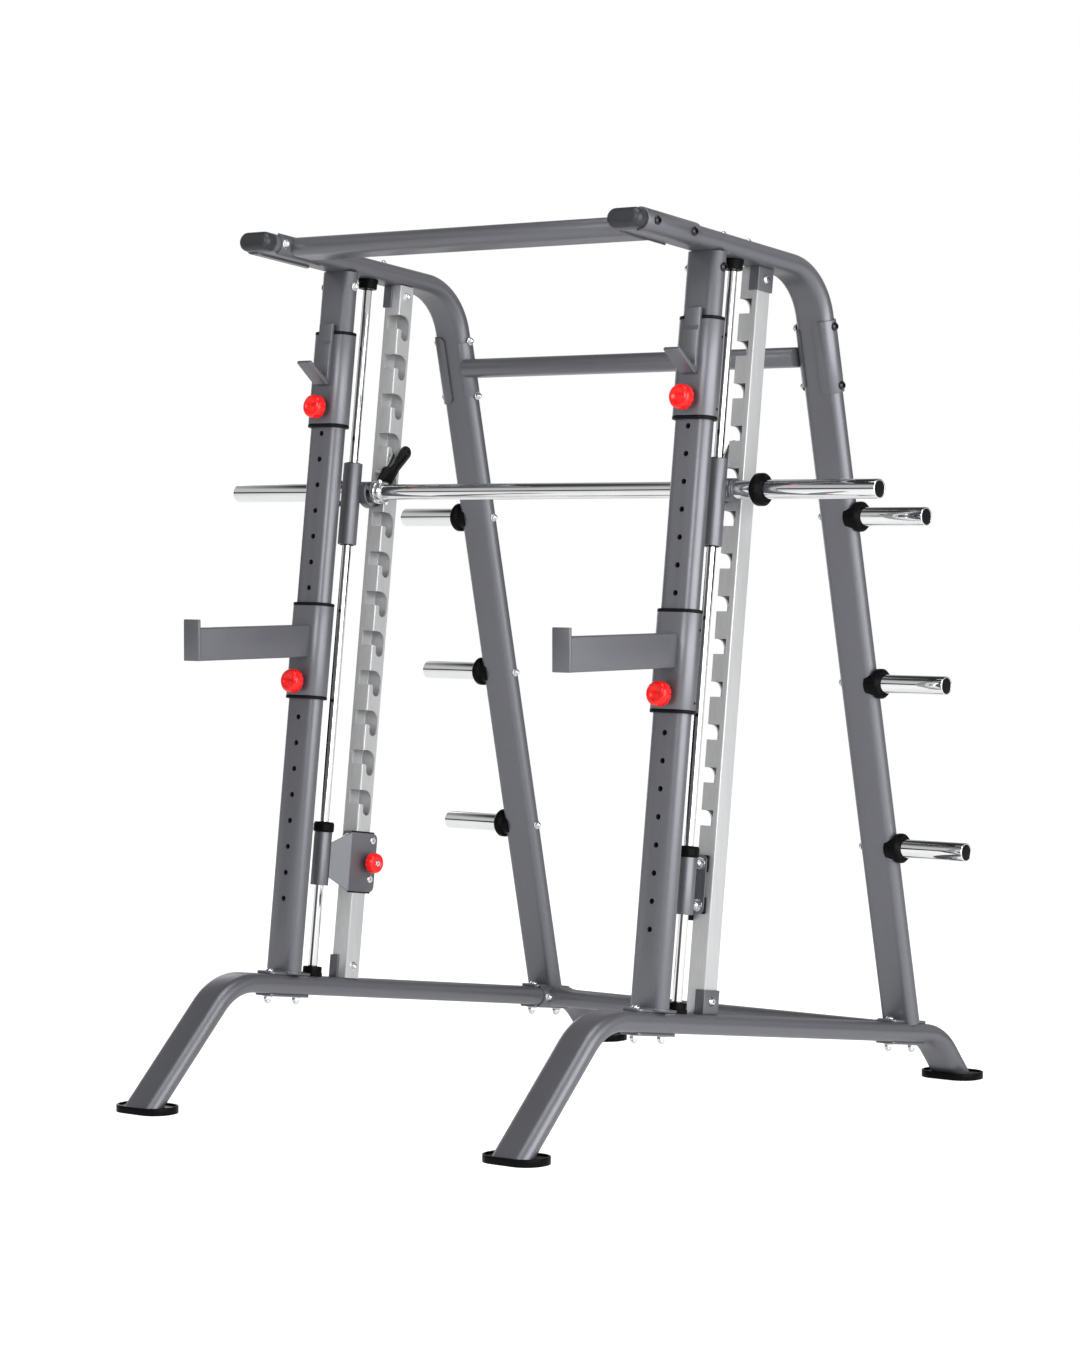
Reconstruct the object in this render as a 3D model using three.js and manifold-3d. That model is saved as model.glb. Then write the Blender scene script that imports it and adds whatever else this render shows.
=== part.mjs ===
// Smith machine: a welded and bolted flat-oval tube frame whose front uprights lean back, two guide
// rods that carry a linear-bearing barbell, two slotted latch rails for the bar's hooks, adjustable
// bar hooks, safety arms and lower stops, and six plate storage horns.
// Millimetres. +X is the machine's right, -Y its front, +Z up. The origin is on the floor, in the
// middle of the footprint.
//
// Most parts are placed in the leaning frame of the uprights:
//   x  across the machine
//   n  back from the front face of the uprights
//   u  up along the uprights, from the top face of the base tubes

import * as THREE from 'three';
import { mergeVertices } from 'three/addons/utils/BufferGeometryUtils.js';
import Module from 'manifold-3d';

const wasm = await Module();
wasm.setup();

// ---------------------------------------------------------------- driving dimensions
const GAP = 0.3;                      // clearance between pieces that touch
const RUN = 0.6;                      // radial clearance in round bores
const LEAN = THREE.MathUtils.degToRad(7);
const OVAL = { width: 112, depth: 52, wall: 3, steps: 5 };
const SIDE_X = 643;                   // centre of each side frame, left and right
const BASE_RISE = 323.5;              // height of the base tube's top face at the uprights
const UPRIGHT_BACK = 456.8;           // how far the uprights' feet stand in front of the middle

const UPRIGHT_HEIGHT = 1962;
const HOLE = { pitch: 72, top: 1722, count: 22, radius: 6 };
const BEND_RADIUS = 172;
const BEND_STEPS = 5;

const BASE = { frontBend: -205, rearBend: 1315, frontLegLean: 45, rearLegLean: 41 };
const PAD = { width: 178, length: 116, corner: 50, height: 16, y: 959 };

const ARCH = { corner: 475, front: -298, legLean: 12.25 };
const CAP_LENGTH = 38;
const REAR_LEG_N = 1170;              // where the rear leg meets the base tube
const FOOT_PLATE = { length: 160, width: 64, thick: 8 };

const FRONT_CROSSBAR_N = -190;
const REAR_CROSSBAR_Z = 2015;
const LOWER_CROSSBAR_N = 1170;
const SADDLE = { front: 220, rear: 196, low: 148, wall: 5 };

const ROD = { x: 642, n: 138.6, radius: 13 };
const ROD_COLLAR = { radius: 28.5, height: 27 };
const RAIL = { x: 629, n: 260.7, size: 56, wall: 5 };
const SLOT = { pitch: 112.3, top: 1877, count: 13, mouth: 40, drop: 71, reach: 47.3, lobe: 30, cut: 40 };
const RAIL_BRACKET = { thick: 4, height: 63, frontCover: 26 };

const BAR = { n: 186.7, u: 1364.6, shaft: 22, sleeve: 25.5, shaftEnd: 690, end: 1124.8 };
const BAR_RING = { radius: 43, inner: 26, width: 24, x: 742, chamfer: 8 };
const CARRIAGE = { radius: 26.5, bottom: 1211, height: 229, housing: 30, housingWidth: 58 };
const HOOK = { x: 591, thick: 12, hub: 37, reach: 70.5, tip: 5, tipLength: 28, angle: 66 };
const LEVER = { x: 586.4, thick: 13, length: 178, angle: 52, base: 27, waist: 14, waistAt: 100, end: 19 };

const COLLAR = { wall: 5, clearance: 4, height: 268 };
const HOOK_COLLAR_U = 1658;
const ARM_COLLAR_U = 899.5;
const JHOOK = { width: 49, thick: 9, step: 4, top: 1813, stepAt: 1758, heel: 1655, lip: 82, lipAngle: 31 };
const ARM = { width: 50, height: 89, bottom: 1198, front: -788, wall: 4 };
const ARM_PLATE = { width: 58, thick: 8, height: 112 };
const KNOB = { radius: 33, length: 32, neck: 11, neckLength: 14, pin: 5 };
const HOOK_KNOB_U = 1576;
const ARM_KNOB_U = 811;

const STOP = { bumperTop: 431, bumperHeight: 28, bumperRadius: 29, radius: 25, bottom: 254 };
const STOP_BOX = { inner: 597, front: 207, rear: 311, thick: 4, top: 409, bottom: 244 };
const STOP_KNOB = { n: 280, u: 327, radius: 29, length: 26, neck: 9, neckLength: 12 };

const HORN = { radius: 25.5, tip: 927, heights: [1586, 1132, 677], ring: 41, ringWidth: 44, ringX: 680 };

const SIDES = [{ name: 'left', sign: -1 }, { name: 'right', sign: 1 }];

// ---------------------------------------------------------------- finishes
const finish = (color, roughness, metalness) =>
  new THREE.MeshStandardMaterial({ color, roughness, metalness });
const FRAME_PAINT = finish(0x6a6b70, 0.42, 0.55);
const CHROME = finish(0xd8dadd, 0.12, 1);
const RAIL_SILVER = finish(0xc9cacb, 0.35, 0.8);
const BLACK_RUBBER = finish(0x151515, 0.8, 0);
const BLACK_PLASTIC = finish(0x1d1d1f, 0.55, 0);
const CAP_PLASTIC = finish(0x4c4d51, 0.5, 0.1);
const LEVER_BLACK = finish(0x121213, 0.4, 0.1);
const RED_KNOB = finish(0xd9141a, 0.25, 0);

// ---------------------------------------------------------------- geometry helpers
function toSolid(geometry) {
  const bare = geometry.index ? geometry.toNonIndexed() : geometry.clone();
  bare.deleteAttribute('normal');
  bare.deleteAttribute('uv');
  const merged = mergeVertices(bare, 1e-4);
  return new wasm.Manifold(new wasm.Mesh({
    numProp: 3,
    vertProperties: new Float32Array(merged.attributes.position.array),
    triVerts: new Uint32Array(merged.index.array),
  }));
}

function toGeometry(solid) {
  const mesh = solid.getMesh();
  const geometry = new THREE.BufferGeometry();
  geometry.setAttribute('position', new THREE.BufferAttribute(mesh.vertProperties, 3));
  geometry.setIndex(new THREE.BufferAttribute(mesh.triVerts, 1));
  geometry.computeVertexNormals();
  return geometry;
}

function join(...geometries) {
  return toGeometry(geometries.map(toSolid).reduce((all, one) => all.add(one)));
}

function cut(geometry, ...tools) {
  return toGeometry(tools.map(toSolid).reduce((left, tool) => left.subtract(tool), toSolid(geometry)));
}

// A box given by its lowest and highest corners.
function block(low, high) {
  const size = high.map((value, axis) => value - low[axis]);
  const geometry = new THREE.BoxGeometry(...size);
  return geometry.translate(...high.map((value, axis) => (value + low[axis]) / 2));
}

// A cylinder from one point to another, with `sides` flats.
function rodBetween(from, to, radius, sides = 16) {
  const start = new THREE.Vector3(...from);
  const along = new THREE.Vector3(...to).sub(start);
  const geometry = new THREE.CylinderGeometry(radius, radius, along.length(), sides);
  geometry.translate(0, along.length() / 2, 0);
  const turn = new THREE.Quaternion().setFromUnitVectors(new THREE.Vector3(0, 1, 0), along.normalize());
  return geometry.applyQuaternion(turn).translate(...from);
}

// A turned solid along X: profile points are [x, radius], starting and ending on the axis.
function turnedAlongX(profile, sides = 20) {
  const points = profile.map(([x, radius]) => new THREE.Vector2(radius, x));
  return new THREE.LatheGeometry(points, sides).rotateZ(-Math.PI / 2);
}

// The same turned solid, with its axis pointing along `direction` from `origin`.
function turned(profile, origin, direction, sides = 16) {
  const points = profile.map(([along, radius]) => new THREE.Vector2(radius, along));
  const geometry = new THREE.LatheGeometry(points, sides);
  const turn = new THREE.Quaternion().setFromUnitVectors(
    new THREE.Vector3(0, 1, 0), new THREE.Vector3(...direction).normalize());
  return geometry.applyQuaternion(turn).translate(...origin);
}

// Flat-oval outline: straight top and bottom, half-round sides.
function ovalOutline(width, depth, steps, Kind = THREE.Shape) {
  const radius = depth / 2;
  const run = width / 2 - radius;
  const points = [];
  for (let side = 0; side < 2; side += 1) {
    for (let step = 0; step <= steps; step += 1) {
      const angle = -Math.PI / 2 + Math.PI * (side + step / steps);
      const centre = side === 0 ? run : -run;
      points.push(new THREE.Vector2(centre + radius * Math.cos(angle), radius * Math.sin(angle)));
    }
  }
  return new Kind(points);
}

function tubeSection(width, depth, wall, steps = OVAL.steps) {
  const shape = ovalOutline(width, depth, steps);
  shape.holes.push(ovalOutline(width - 2 * wall, depth - 2 * wall, steps, THREE.Path));
  return shape;
}

// A planar route of straight runs joined by round bends. Points are [y, z] in one side plane.
class BentRoute extends THREE.Curve {
  constructor(corners, radius) {
    super();
    this.stations = [];
    const points = corners.map(([y, z]) => new THREE.Vector3(0, y, z));
    const addStation = (point, tangent) => this.stations.push({ point, tangent });
    addStation(points[0], points[1].clone().sub(points[0]).normalize());
    for (let index = 1; index < points.length - 1; index += 1) {
      const into = points[index].clone().sub(points[index - 1]).normalize();
      const out = points[index + 1].clone().sub(points[index]).normalize();
      const turn = into.angleTo(out);
      const start = points[index].clone().addScaledVector(into, -radius * Math.tan(turn / 2));
      const inward = out.clone().addScaledVector(into, -into.dot(out)).normalize();
      for (let step = 0; step <= BEND_STEPS; step += 1) {
        const angle = turn * step / BEND_STEPS;
        const point = start.clone().addScaledVector(into, radius * Math.sin(angle))
          .addScaledVector(inward, radius * (1 - Math.cos(angle)));
        const tangent = into.clone().multiplyScalar(Math.cos(angle)).addScaledVector(inward, Math.sin(angle));
        addStation(point, tangent);
      }
    }
    const last = points[points.length - 1];
    addStation(last, last.clone().sub(points[points.length - 2]).normalize());
  }

  station(t) {
    return this.stations[Math.round(t * (this.stations.length - 1))];
  }

  getPoint(t) {
    return this.station(t).point.clone();
  }

  getPointAt(t) {
    return this.getPoint(t);
  }

  getTangentAt(t) {
    return this.station(t).tangent.clone();
  }
}

function sweep(shape, route) {
  return new THREE.ExtrudeGeometry(shape, { steps: route.stations.length - 1, extrudePath: route });
}

// An outline in the n-u plane, extruded along X from x0 to x1. Points are [n, u].
function plateInSidePlane(points, x0, x1) {
  const shape = new THREE.Shape(points.map(([n, u]) => new THREE.Vector2(n, u)));
  const geometry = new THREE.ExtrudeGeometry(shape, { depth: x1 - x0, bevelEnabled: false });
  // shape x -> n (world y), shape y -> u (world z), depth -> x
  geometry.applyMatrix4(new THREE.Matrix4().makeBasis(
    new THREE.Vector3(0, 1, 0), new THREE.Vector3(0, 0, 1), new THREE.Vector3(1, 0, 0)));
  return geometry.translate(x0, 0, 0);
}

function arcPoints(centreN, centreU, radius, fromDegrees, toDegrees, steps) {
  const points = [];
  for (let step = 0; step <= steps; step += 1) {
    const angle = THREE.MathUtils.degToRad(fromDegrees + (toDegrees - fromDegrees) * step / steps);
    points.push([centreN + radius * Math.cos(angle), centreU + radius * Math.sin(angle)]);
  }
  return points;
}

// ---------------------------------------------------------------- the side plane
const sine = Math.sin(LEAN);
const cosine = Math.cos(LEAN);
const tubeRadius = OVAL.depth / 2;
const archU = UPRIGHT_HEIGHT + tubeRadius;

// A point of the leaning frame in world [y, z].
const world = (n, u) => [n * cosine + u * sine - UPRIGHT_BACK, BASE_RISE - n * sine + u * cosine];


// The rear leg's centre line runs from the arch corner to the base tube.
const [archY, archZ] = world(ARCH.corner, archU);
const legLean = THREE.MathUtils.degToRad(ARCH.legLean);
const legY = (z) => archY + (archZ - z) * Math.tan(legLean);

const machine = new THREE.Group();
machine.name = 'smith_machine';
const leaning = new THREE.Group();
leaning.position.set(0, -UPRIGHT_BACK, BASE_RISE);
leaning.rotation.x = -LEAN;
machine.add(leaning);

function add(parent, name, geometry, material) {
  const mesh = new THREE.Mesh(geometry, material);
  mesh.name = name;
  parent.add(mesh);
}

// ---------------------------------------------------------------- base
function baseTube(x) {
  const below = -200;                 // the legs run on below the floor and are cut level
  const down = (lean, direction, [y, z]) =>
    [y + direction * (z - below) * Math.tan(THREE.MathUtils.degToRad(lean)), below];
  const front = world(BASE.frontBend, -tubeRadius);
  const rear = world(BASE.rearBend, -tubeRadius);
  const route = new BentRoute(
    [down(BASE.frontLegLean, -1, front), front, rear, down(BASE.rearLegLean, 1, rear)], BEND_RADIUS);
  const tube = sweep(tubeSection(OVAL.width, OVAL.depth, OVAL.wall), route).translate(x, 0, 0);
  return cut(tube, block([x - 200, -1500, -600], [x + 200, 1500, PAD.height + GAP]));
}

function footPad(x, y) {
  const { width, length, corner, height } = PAD;
  const shape = new THREE.Shape();
  const [halfX, halfY] = [width / 2, length / 2];
  shape.moveTo(-halfX + corner, -halfY);
  shape.lineTo(halfX - corner, -halfY);
  shape.absarc(halfX - corner, -halfY + corner, corner, -Math.PI / 2, 0);
  shape.absarc(halfX - corner, halfY - corner, corner, 0, Math.PI / 2);
  shape.absarc(-halfX + corner, halfY - corner, corner, Math.PI / 2, Math.PI);
  shape.absarc(-halfX + corner, -halfY + corner, corner, Math.PI, Math.PI * 1.5);
  return new THREE.ExtrudeGeometry(shape, {
    depth: height - 5, bevelThickness: 2.5, bevelSize: 2.5, bevelOffset: -2.5, bevelSegments: 1,
    curveSegments: 4,
  }).translate(x, y, 2.5);
}

// ---------------------------------------------------------------- uprights
function upright(x) {
  const start = FOOT_PLATE.thick / 2;
  const tube = new THREE.ExtrudeGeometry(tubeSection(OVAL.width, OVAL.depth, OVAL.wall),
    { depth: UPRIGHT_HEIGHT - GAP - start, bevelEnabled: false }).translate(x, tubeRadius, start);
  const plate = block(
    [x - FOOT_PLATE.width / 2, tubeRadius - FOOT_PLATE.length / 2, GAP],
    [x + FOOT_PLATE.width / 2, tubeRadius + FOOT_PLATE.length / 2, FOOT_PLATE.thick]);
  const pins = [];
  for (let index = 0; index < HOLE.count; index += 1) {
    const u = HOLE.top - index * HOLE.pitch;
    pins.push(rodBetween([x, -10, u], [x, 10, u], HOLE.radius, 8));
  }
  return cut(join(tube, plate), ...pins);
}

// ---------------------------------------------------------------- top tube, arch and rear leg
function topTube(x) {
  const front = world(ARCH.front, archU);
  const footZ = world(REAR_LEG_N, -40)[1];
  const route = new BentRoute([front, [archY, archZ], [legY(footZ), footZ]], BEND_RADIUS);
  const tube = sweep(tubeSection(OVAL.width, OVAL.depth, OVAL.wall), route).translate(x, 0, 0);
  const below = block([x - 200, REAR_LEG_N - 300, -400], [x + 200, REAR_LEG_N + 300, FOOT_PLATE.thick / 2]);
  const plate = block(
    [x - FOOT_PLATE.width / 2, REAR_LEG_N - FOOT_PLATE.length / 2, GAP],
    [x + FOOT_PLATE.width / 2, REAR_LEG_N + FOOT_PLATE.length / 2, FOOT_PLATE.thick]);
  [below, plate].forEach((piece) => piece.rotateX(-LEAN).translate(0, -UPRIGHT_BACK, BASE_RISE));
  return join(cut(tube, below), plate);
}

function topCap(x) {
  const shape = ovalOutline(OVAL.width - 8, OVAL.depth - 8, OVAL.steps);
  return new THREE.ExtrudeGeometry(shape, {
    depth: CAP_LENGTH - 8, bevelThickness: 4, bevelSize: 4, bevelSegments: 2,
  }).rotateX(Math.PI / 2).translate(x, ARCH.front - GAP - 4, archU);
}

// ---------------------------------------------------------------- crossbars
// The inner half of a shell that hugs a side tube, standing along +Z around x = 0.
function saddleShell(side, length) {
  const size = 2 * (GAP + SADDLE.wall);
  const shell = new THREE.ExtrudeGeometry(ovalOutline(OVAL.width + size, OVAL.depth + size, OVAL.steps),
    { depth: length, bevelEnabled: false }).translate(0, 0, -length / 2);
  const edge = -side * (OVAL.width / 2 - OVAL.depth / 2 + 10);
  const away = side * 200;
  return cut(shell, block([Math.min(edge, away), -200, -400], [Math.max(edge, away), 200, 400]));
}

function tubeClearance() {
  const size = 2 * GAP;
  return new THREE.ExtrudeGeometry(ovalOutline(OVAL.width + size, OVAL.depth + size, OVAL.steps),
    { depth: 900, bevelEnabled: false }).translate(0, 0, -450);
}

// An oval tube along X whose ends are closed by saddles that hug the side tubes. `turnSaddle`
// points the saddles along the side tubes. `reach` is the tube's half length.
function crossbar(reach, turnSaddle, saddleLength) {
  const section = new THREE.ExtrudeGeometry(tubeSection(OVAL.width, OVAL.depth, OVAL.wall),
    { depth: 2 * reach, bevelEnabled: false });
  section.applyMatrix4(new THREE.Matrix4().makeBasis(
    new THREE.Vector3(0, 1, 0), new THREE.Vector3(0, 0, 1), new THREE.Vector3(1, 0, 0)));
  const pieces = [section.translate(-reach, 0, 0)];
  const clearances = [];
  SIDES.forEach(({ sign }) => {
    const place = (geometry) => geometry.rotateX(turnSaddle).translate(sign * SIDE_X, 0, 0);
    pieces.push(place(saddleShell(sign, saddleLength)));
    const disc = new THREE.ExtrudeGeometry(ovalOutline(OVAL.width, OVAL.depth, OVAL.steps),
      { depth: 4, bevelEnabled: false });
    disc.applyMatrix4(new THREE.Matrix4().makeBasis(
      new THREE.Vector3(0, 1, 0), new THREE.Vector3(0, 0, 1), new THREE.Vector3(1, 0, 0)));
    pieces.push(disc.translate(sign * (reach - 2) - 2, 0, 0));
    clearances.push(place(tubeClearance()));
    clearances.push(rodBetween([sign * (reach - 30), 0, 0], [sign * (reach + 60), 0, 0], 9, 12));
  });
  return cut(join(...pieces), ...clearances);
}

// ---------------------------------------------------------------- guide rods and latch rails
function rodCollar(x, low) {
  const { radius, height } = ROD_COLLAR;
  const ring = [[low, ROD.radius + RUN], [low, radius], [low + height, radius], [low + height, ROD.radius + RUN]];
  const points = [...ring, ring[0]].map(([along, r]) => new THREE.Vector2(r, along));
  return new THREE.LatheGeometry(points, 16).rotateX(Math.PI / 2).translate(x, ROD.n, 0);
}

// A hook slot: a square mouth in the front wall, and in the inner wall a channel that runs back
// and then turns down into a round-ended seat.
function slotCutters(side, top) {
  const front = RAIL.n - RAIL.size / 2;
  const inner = side * (RAIL.x - RAIL.size / 2);
  const blind = inner + side * SLOT.cut;
  const outside = inner - side * 10;
  const rear = front + SLOT.reach;
  const lobeRadius = SLOT.lobe / 2;
  const lobeN = rear - lobeRadius;
  const mouth = block(
    [Math.min(outside, blind), front - 10, top - SLOT.mouth],
    [Math.max(outside, blind), front + RAIL.wall + 0.5, top]);
  const bendRadius = 26;
  const outline = [
    [front - 10, top],
    ...arcPoints(rear - bendRadius, top - bendRadius, bendRadius, 90, 0, 4),
    ...arcPoints(lobeN, top - SLOT.drop + lobeRadius, lobeRadius, 0, -180, 4),
    [lobeN - lobeRadius, top - SLOT.mouth - 6],
    [lobeN - lobeRadius - 6, top - SLOT.mouth],
    [front - 10, top - SLOT.mouth],
  ];
  const wallFar = inner + side * (RAIL.wall + 0.5);
  const channel = plateInSidePlane(outline, Math.min(outside, wallFar), Math.max(outside, wallFar));
  return [mouth, channel];
}

function latchRail(side) {
  const half = RAIL.size / 2;
  const bore = half - RAIL.wall;
  const x = side * RAIL.x;
  const bar = block([x - half, RAIL.n - half, GAP], [x + half, RAIL.n + half, UPRIGHT_HEIGHT - GAP]);
  const hollow = block([x - bore, RAIL.n - bore, -50], [x + bore, RAIL.n + bore, UPRIGHT_HEIGHT + 50]);
  const cutters = [];
  for (let index = 0; index < SLOT.count; index += 1) {
    const top = SLOT.top - index * SLOT.pitch;
    cutters.push(...slotCutters(side, top));
  }
  return cut(bar, hollow, ...cutters);
}

// A channel bracket over the rail's outer face, the outer part of its front face and its back.
function railBracket(side, low) {
  const half = RAIL.size / 2 + GAP;
  const { thick, height, frontCover } = RAIL_BRACKET;
  const outer = side * (RAIL.x + half);
  const shell = block(
    [Math.min(outer + side * thick, side * (RAIL.x + half - frontCover)), RAIL.n - half - thick, low],
    [Math.max(outer + side * thick, side * (RAIL.x + half - frontCover)), RAIL.n + half + thick, low + height]);
  const inside = block(
    [Math.min(side * 500, outer), RAIL.n - half, low - 10],
    [Math.max(side * 500, outer), RAIL.n + half, low + height + 10]);
  return cut(shell, inside);
}

// ---------------------------------------------------------------- bar, carriages, hooks and levers
function barbell() {
  const { shaft, sleeve, shaftEnd, end } = BAR;
  return turnedAlongX([
    [-end, 0], [-end, sleeve - 2], [-end + 2, sleeve], [-shaftEnd, sleeve], [-shaftEnd, shaft],
    [shaftEnd, shaft], [shaftEnd, sleeve], [end - 2, sleeve], [end, sleeve - 2], [end, 0],
  ], 20).translate(0, BAR.n, BAR.u);
}

function barRing(side) {
  return ringOnX(BAR_RING, side).translate(0, BAR.n, BAR.u);
}

// A rubber ring along X with chamfered rims.
function ringOnX({ radius, inner, width, x, chamfer }, side) {
  const bore = inner + RUN;
  const low = side > 0 ? x : -x - width;
  const profile = [
    [low, bore], [low, radius - chamfer], [low + chamfer, radius], [low + width - chamfer, radius],
    [low + width, radius - chamfer], [low + width, bore], [low, bore],
  ];
  return turnedAlongX(profile, 20);
}

function carriage(side) {
  const x = side * ROD.x;
  const { radius, bottom, height, housing, housingWidth } = CARRIAGE;
  const tube = rodBetween([x, ROD.n, bottom], [x, ROD.n, bottom + height], radius, 16);
  const hub = rodBetween([x - housingWidth / 2, BAR.n, BAR.u], [x + housingWidth / 2, BAR.n, BAR.u], housing, 20);
  const web = block([x - 22, ROD.n, BAR.u - 22], [x + 22, BAR.n, BAR.u + 22]);
  const rodBore = rodBetween([x, ROD.n, bottom - 5], [x, ROD.n, bottom + height + 5], ROD.radius + RUN, 16);
  const barBore = rodBetween([x - 60, BAR.n, BAR.u], [x + 60, BAR.n, BAR.u], BAR.shaft + RUN, 20);
  return cut(join(tube, hub, web), rodBore, barBore);
}

// An arm in the side plane that starts at the bar's axis and ends in a round of radius `end`.
function barArm({ angle, length, root, waist, waistAt, end }, low, high) {
  const aim = THREE.MathUtils.degToRad(angle);
  const along = [Math.cos(aim), Math.sin(aim)];
  const at = (distance, offset) => [
    BAR.n + along[0] * distance - along[1] * offset, BAR.u + along[1] * distance + along[0] * offset];
  const [tipN, tipU] = at(length, 0);
  return plateInSidePlane([
    at(0, -root), at(waistAt, -waist), ...arcPoints(tipN, tipU, end, angle - 90, angle + 90, 6),
    at(waistAt, waist), at(0, root),
  ], low, high);
}

// The hook is a disc clamped on the bar. One arm ends in a round tip that reaches out into the
// latch rail's slots, and a longer arm beside it is the hand lever. At rest the tip stands clear
// of the rail.
function latchHook(side) {
  const span = (near, far) => [Math.min(side * near, side * far), Math.max(side * near, side * far)];
  const { x, thick, hub, reach, tip, tipLength, angle } = HOOK;
  const [low, high] = span(x - thick, x);
  const aim = THREE.MathUtils.degToRad(angle);
  const tipN = BAR.n + reach * Math.cos(aim);
  const tipU = BAR.u + reach * Math.sin(aim);
  const disc = rodBetween([low, BAR.n, BAR.u], [high, BAR.n, BAR.u], hub, 20);
  const arm = barArm({ angle, length: reach, root: 20, waist: 15, waistAt: 45, end: 12 }, low, high);
  const stub = rodBetween([side * (x - 6), tipN, tipU], [side * (x + tipLength), tipN, tipU], tip, 16);
  const leverSpan = span(LEVER.x - LEVER.thick, LEVER.x);
  const lever = barArm({ ...LEVER, root: LEVER.base, length: LEVER.length - LEVER.end }, ...leverSpan);
  const clamp = rodBetween(
    [leverSpan[0], BAR.n, BAR.u], [leverSpan[1], BAR.n, BAR.u], BAR.shaft + 9, 20);
  const bore = rodBetween(
    [side * (x - 60), BAR.n, BAR.u], [side * (x + 20), BAR.n, BAR.u], BAR.shaft + RUN, 20);
  return cut(join(disc, arm, stub, lever, clamp), bore);
}

// ---------------------------------------------------------------- sliding collars
const collarOuter = {
  width: OVAL.width + 2 * (COLLAR.wall + COLLAR.clearance),
  depth: OVAL.depth + 2 * (COLLAR.wall + COLLAR.clearance),
};
const collarFront = tubeRadius - collarOuter.depth / 2;

function collarTube(x, middle) {
  return new THREE.ExtrudeGeometry(tubeSection(collarOuter.width, collarOuter.depth, COLLAR.wall),
    { depth: COLLAR.height, bevelEnabled: false }).translate(x, tubeRadius, middle - COLLAR.height / 2);
}

function pinHole(x, u) {
  return rodBetween([x, collarFront - 30, u], [x, 0, u], KNOB.pin + GAP, 16);
}

// Collar with a standing strip that bends forward into an upward lip, to cradle a loose bar.
function hookCollar(x) {
  const { width, thick, step, top, stepAt, heel, lip, lipAngle } = JHOOK;
  const slope = THREE.MathUtils.degToRad(lipAngle);
  const along = [-Math.cos(slope), Math.sin(slope)];
  const upper = collarFront - thick;
  const face = upper - step;
  const tip = [face + along[0] * lip, heel + along[1] * lip];
  const under = [tip[0] - along[1] * thick, tip[1] + along[0] * thick];
  const strip = plateInSidePlane([
    [collarFront + 1, top], [upper, top], [upper, stepAt + 6], [face, stepAt - 6], [face, heel],
    tip, under, [face + 1, heel - 16], [face + 8, heel - 17], [collarFront + 1, heel - 8],
  ], x - width / 2, x + width / 2);
  return cut(join(collarTube(x, HOOK_COLLAR_U), strip), pinHole(x, HOOK_KNOB_U));
}

// Collar with a level rectangular arm and a raised end plate. The arm is modelled level, in world
// axes, and turned into the leaning frame.
function armCollar(x) {
  const { width, height, bottom, front, wall } = ARM;
  const half = width / 2;
  const back = world(collarFront, ARM_COLLAR_U)[0];
  const plateBack = front + ARM_PLATE.thick;
  const beam = block([x - half, front + 1, bottom], [x + half, back + 40, bottom + height]);
  const bore = block(
    [x - half + wall, plateBack, bottom + wall], [x + half - wall, back + 60, bottom + height - wall]);
  const end = block(
    [x - ARM_PLATE.width / 2, front, bottom],
    [x + ARM_PLATE.width / 2, plateBack, bottom + ARM_PLATE.height]);
  const drain = rodBetween([x, front + 60, bottom - 5], [x, front + 60, bottom + 10], 6, 12);
  const arm = cut(join(cut(beam, bore), end), drain);
  arm.translate(0, UPRIGHT_BACK, -BASE_RISE).rotateX(LEAN);
  const trimmed = cut(arm, block([x - 200, collarFront + 2, -500], [x + 200, 600, 2500]));
  return cut(join(collarTube(x, ARM_COLLAR_U), trimmed), pinHole(x, ARM_KNOB_U));
}

// A round knob on a neck, with a short pin behind the neck's shoulder.
function knob(origin, direction, { radius, length, neck, neckLength, pin, pinLength }) {
  const profile = [
    [-pinLength, 0], [-pinLength, pin], [0, pin], [0, neck], [neckLength, neck],
    [neckLength, radius - 4], [neckLength + 4, radius], [neckLength + length - 5, radius],
    [neckLength + length, radius - 6], [neckLength + length, 0],
  ];
  return turned(profile, origin, direction, 16);
}

// ---------------------------------------------------------------- lower stops
function stop(side) {
  const { radius, bottom, bumperTop, bumperHeight } = STOP;
  const { inner, front, rear, thick, top, bottom: plateBottom } = STOP_BOX;
  const x = side * ROD.x;
  const sleeveTop = bumperTop - bumperHeight - GAP;
  const sleeve = rodBetween([x, ROD.n, bottom], [x, ROD.n, sleeveTop], radius, 16);
  const bore = rodBetween([x, ROD.n, bottom - 5], [x, ROD.n, sleeveTop + 5], ROD.radius + RUN, 16);
  const rootX = ROD.x - radius + 3;
  const plan = [
    [rootX, ROD.n + 6], [inner, front], [inner, rear],
    [inner - thick, rear], [inner - thick, front - 1], [rootX - thick, ROD.n + 5],
  ];
  const bent = planPlate(plan.map(([px, n]) => [side * px, n]), plateBottom, top);
  const corners = [[plateBottom, bottom + 14, -1], [top, sleeveTop - 22, 1]].map(([edge, inset, way]) =>
    plateInSidePlane(way > 0
      ? [[ROD.n - 60, inset], [ROD.n + 8, inset], [front, edge], [front, edge + 60], [ROD.n - 60, edge + 60]]
      : [[ROD.n - 60, edge - 60], [front, edge - 60], [front, edge], [ROD.n + 8, inset], [ROD.n - 60, inset]],
    Math.min(side * 500, side * 700), Math.max(side * 500, side * 700)));
  const guide = block(
    [Math.min(side * (inner - 2), side * (inner + 40)), RAIL.n + RAIL.size / 2 + 1, plateBottom + 18],
    [Math.max(side * (inner - 2), side * (inner + 40)), rear - 7, top - 18]);
  const pinHoleTool = rodBetween(
    [side * (inner - 30), STOP_KNOB.n, STOP_KNOB.u], [side * (inner + 2.5), STOP_KNOB.n, STOP_KNOB.u], 5.3, 16);
  return cut(join(sleeve, cut(bent, ...corners), guide), bore, pinHoleTool);
}

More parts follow.
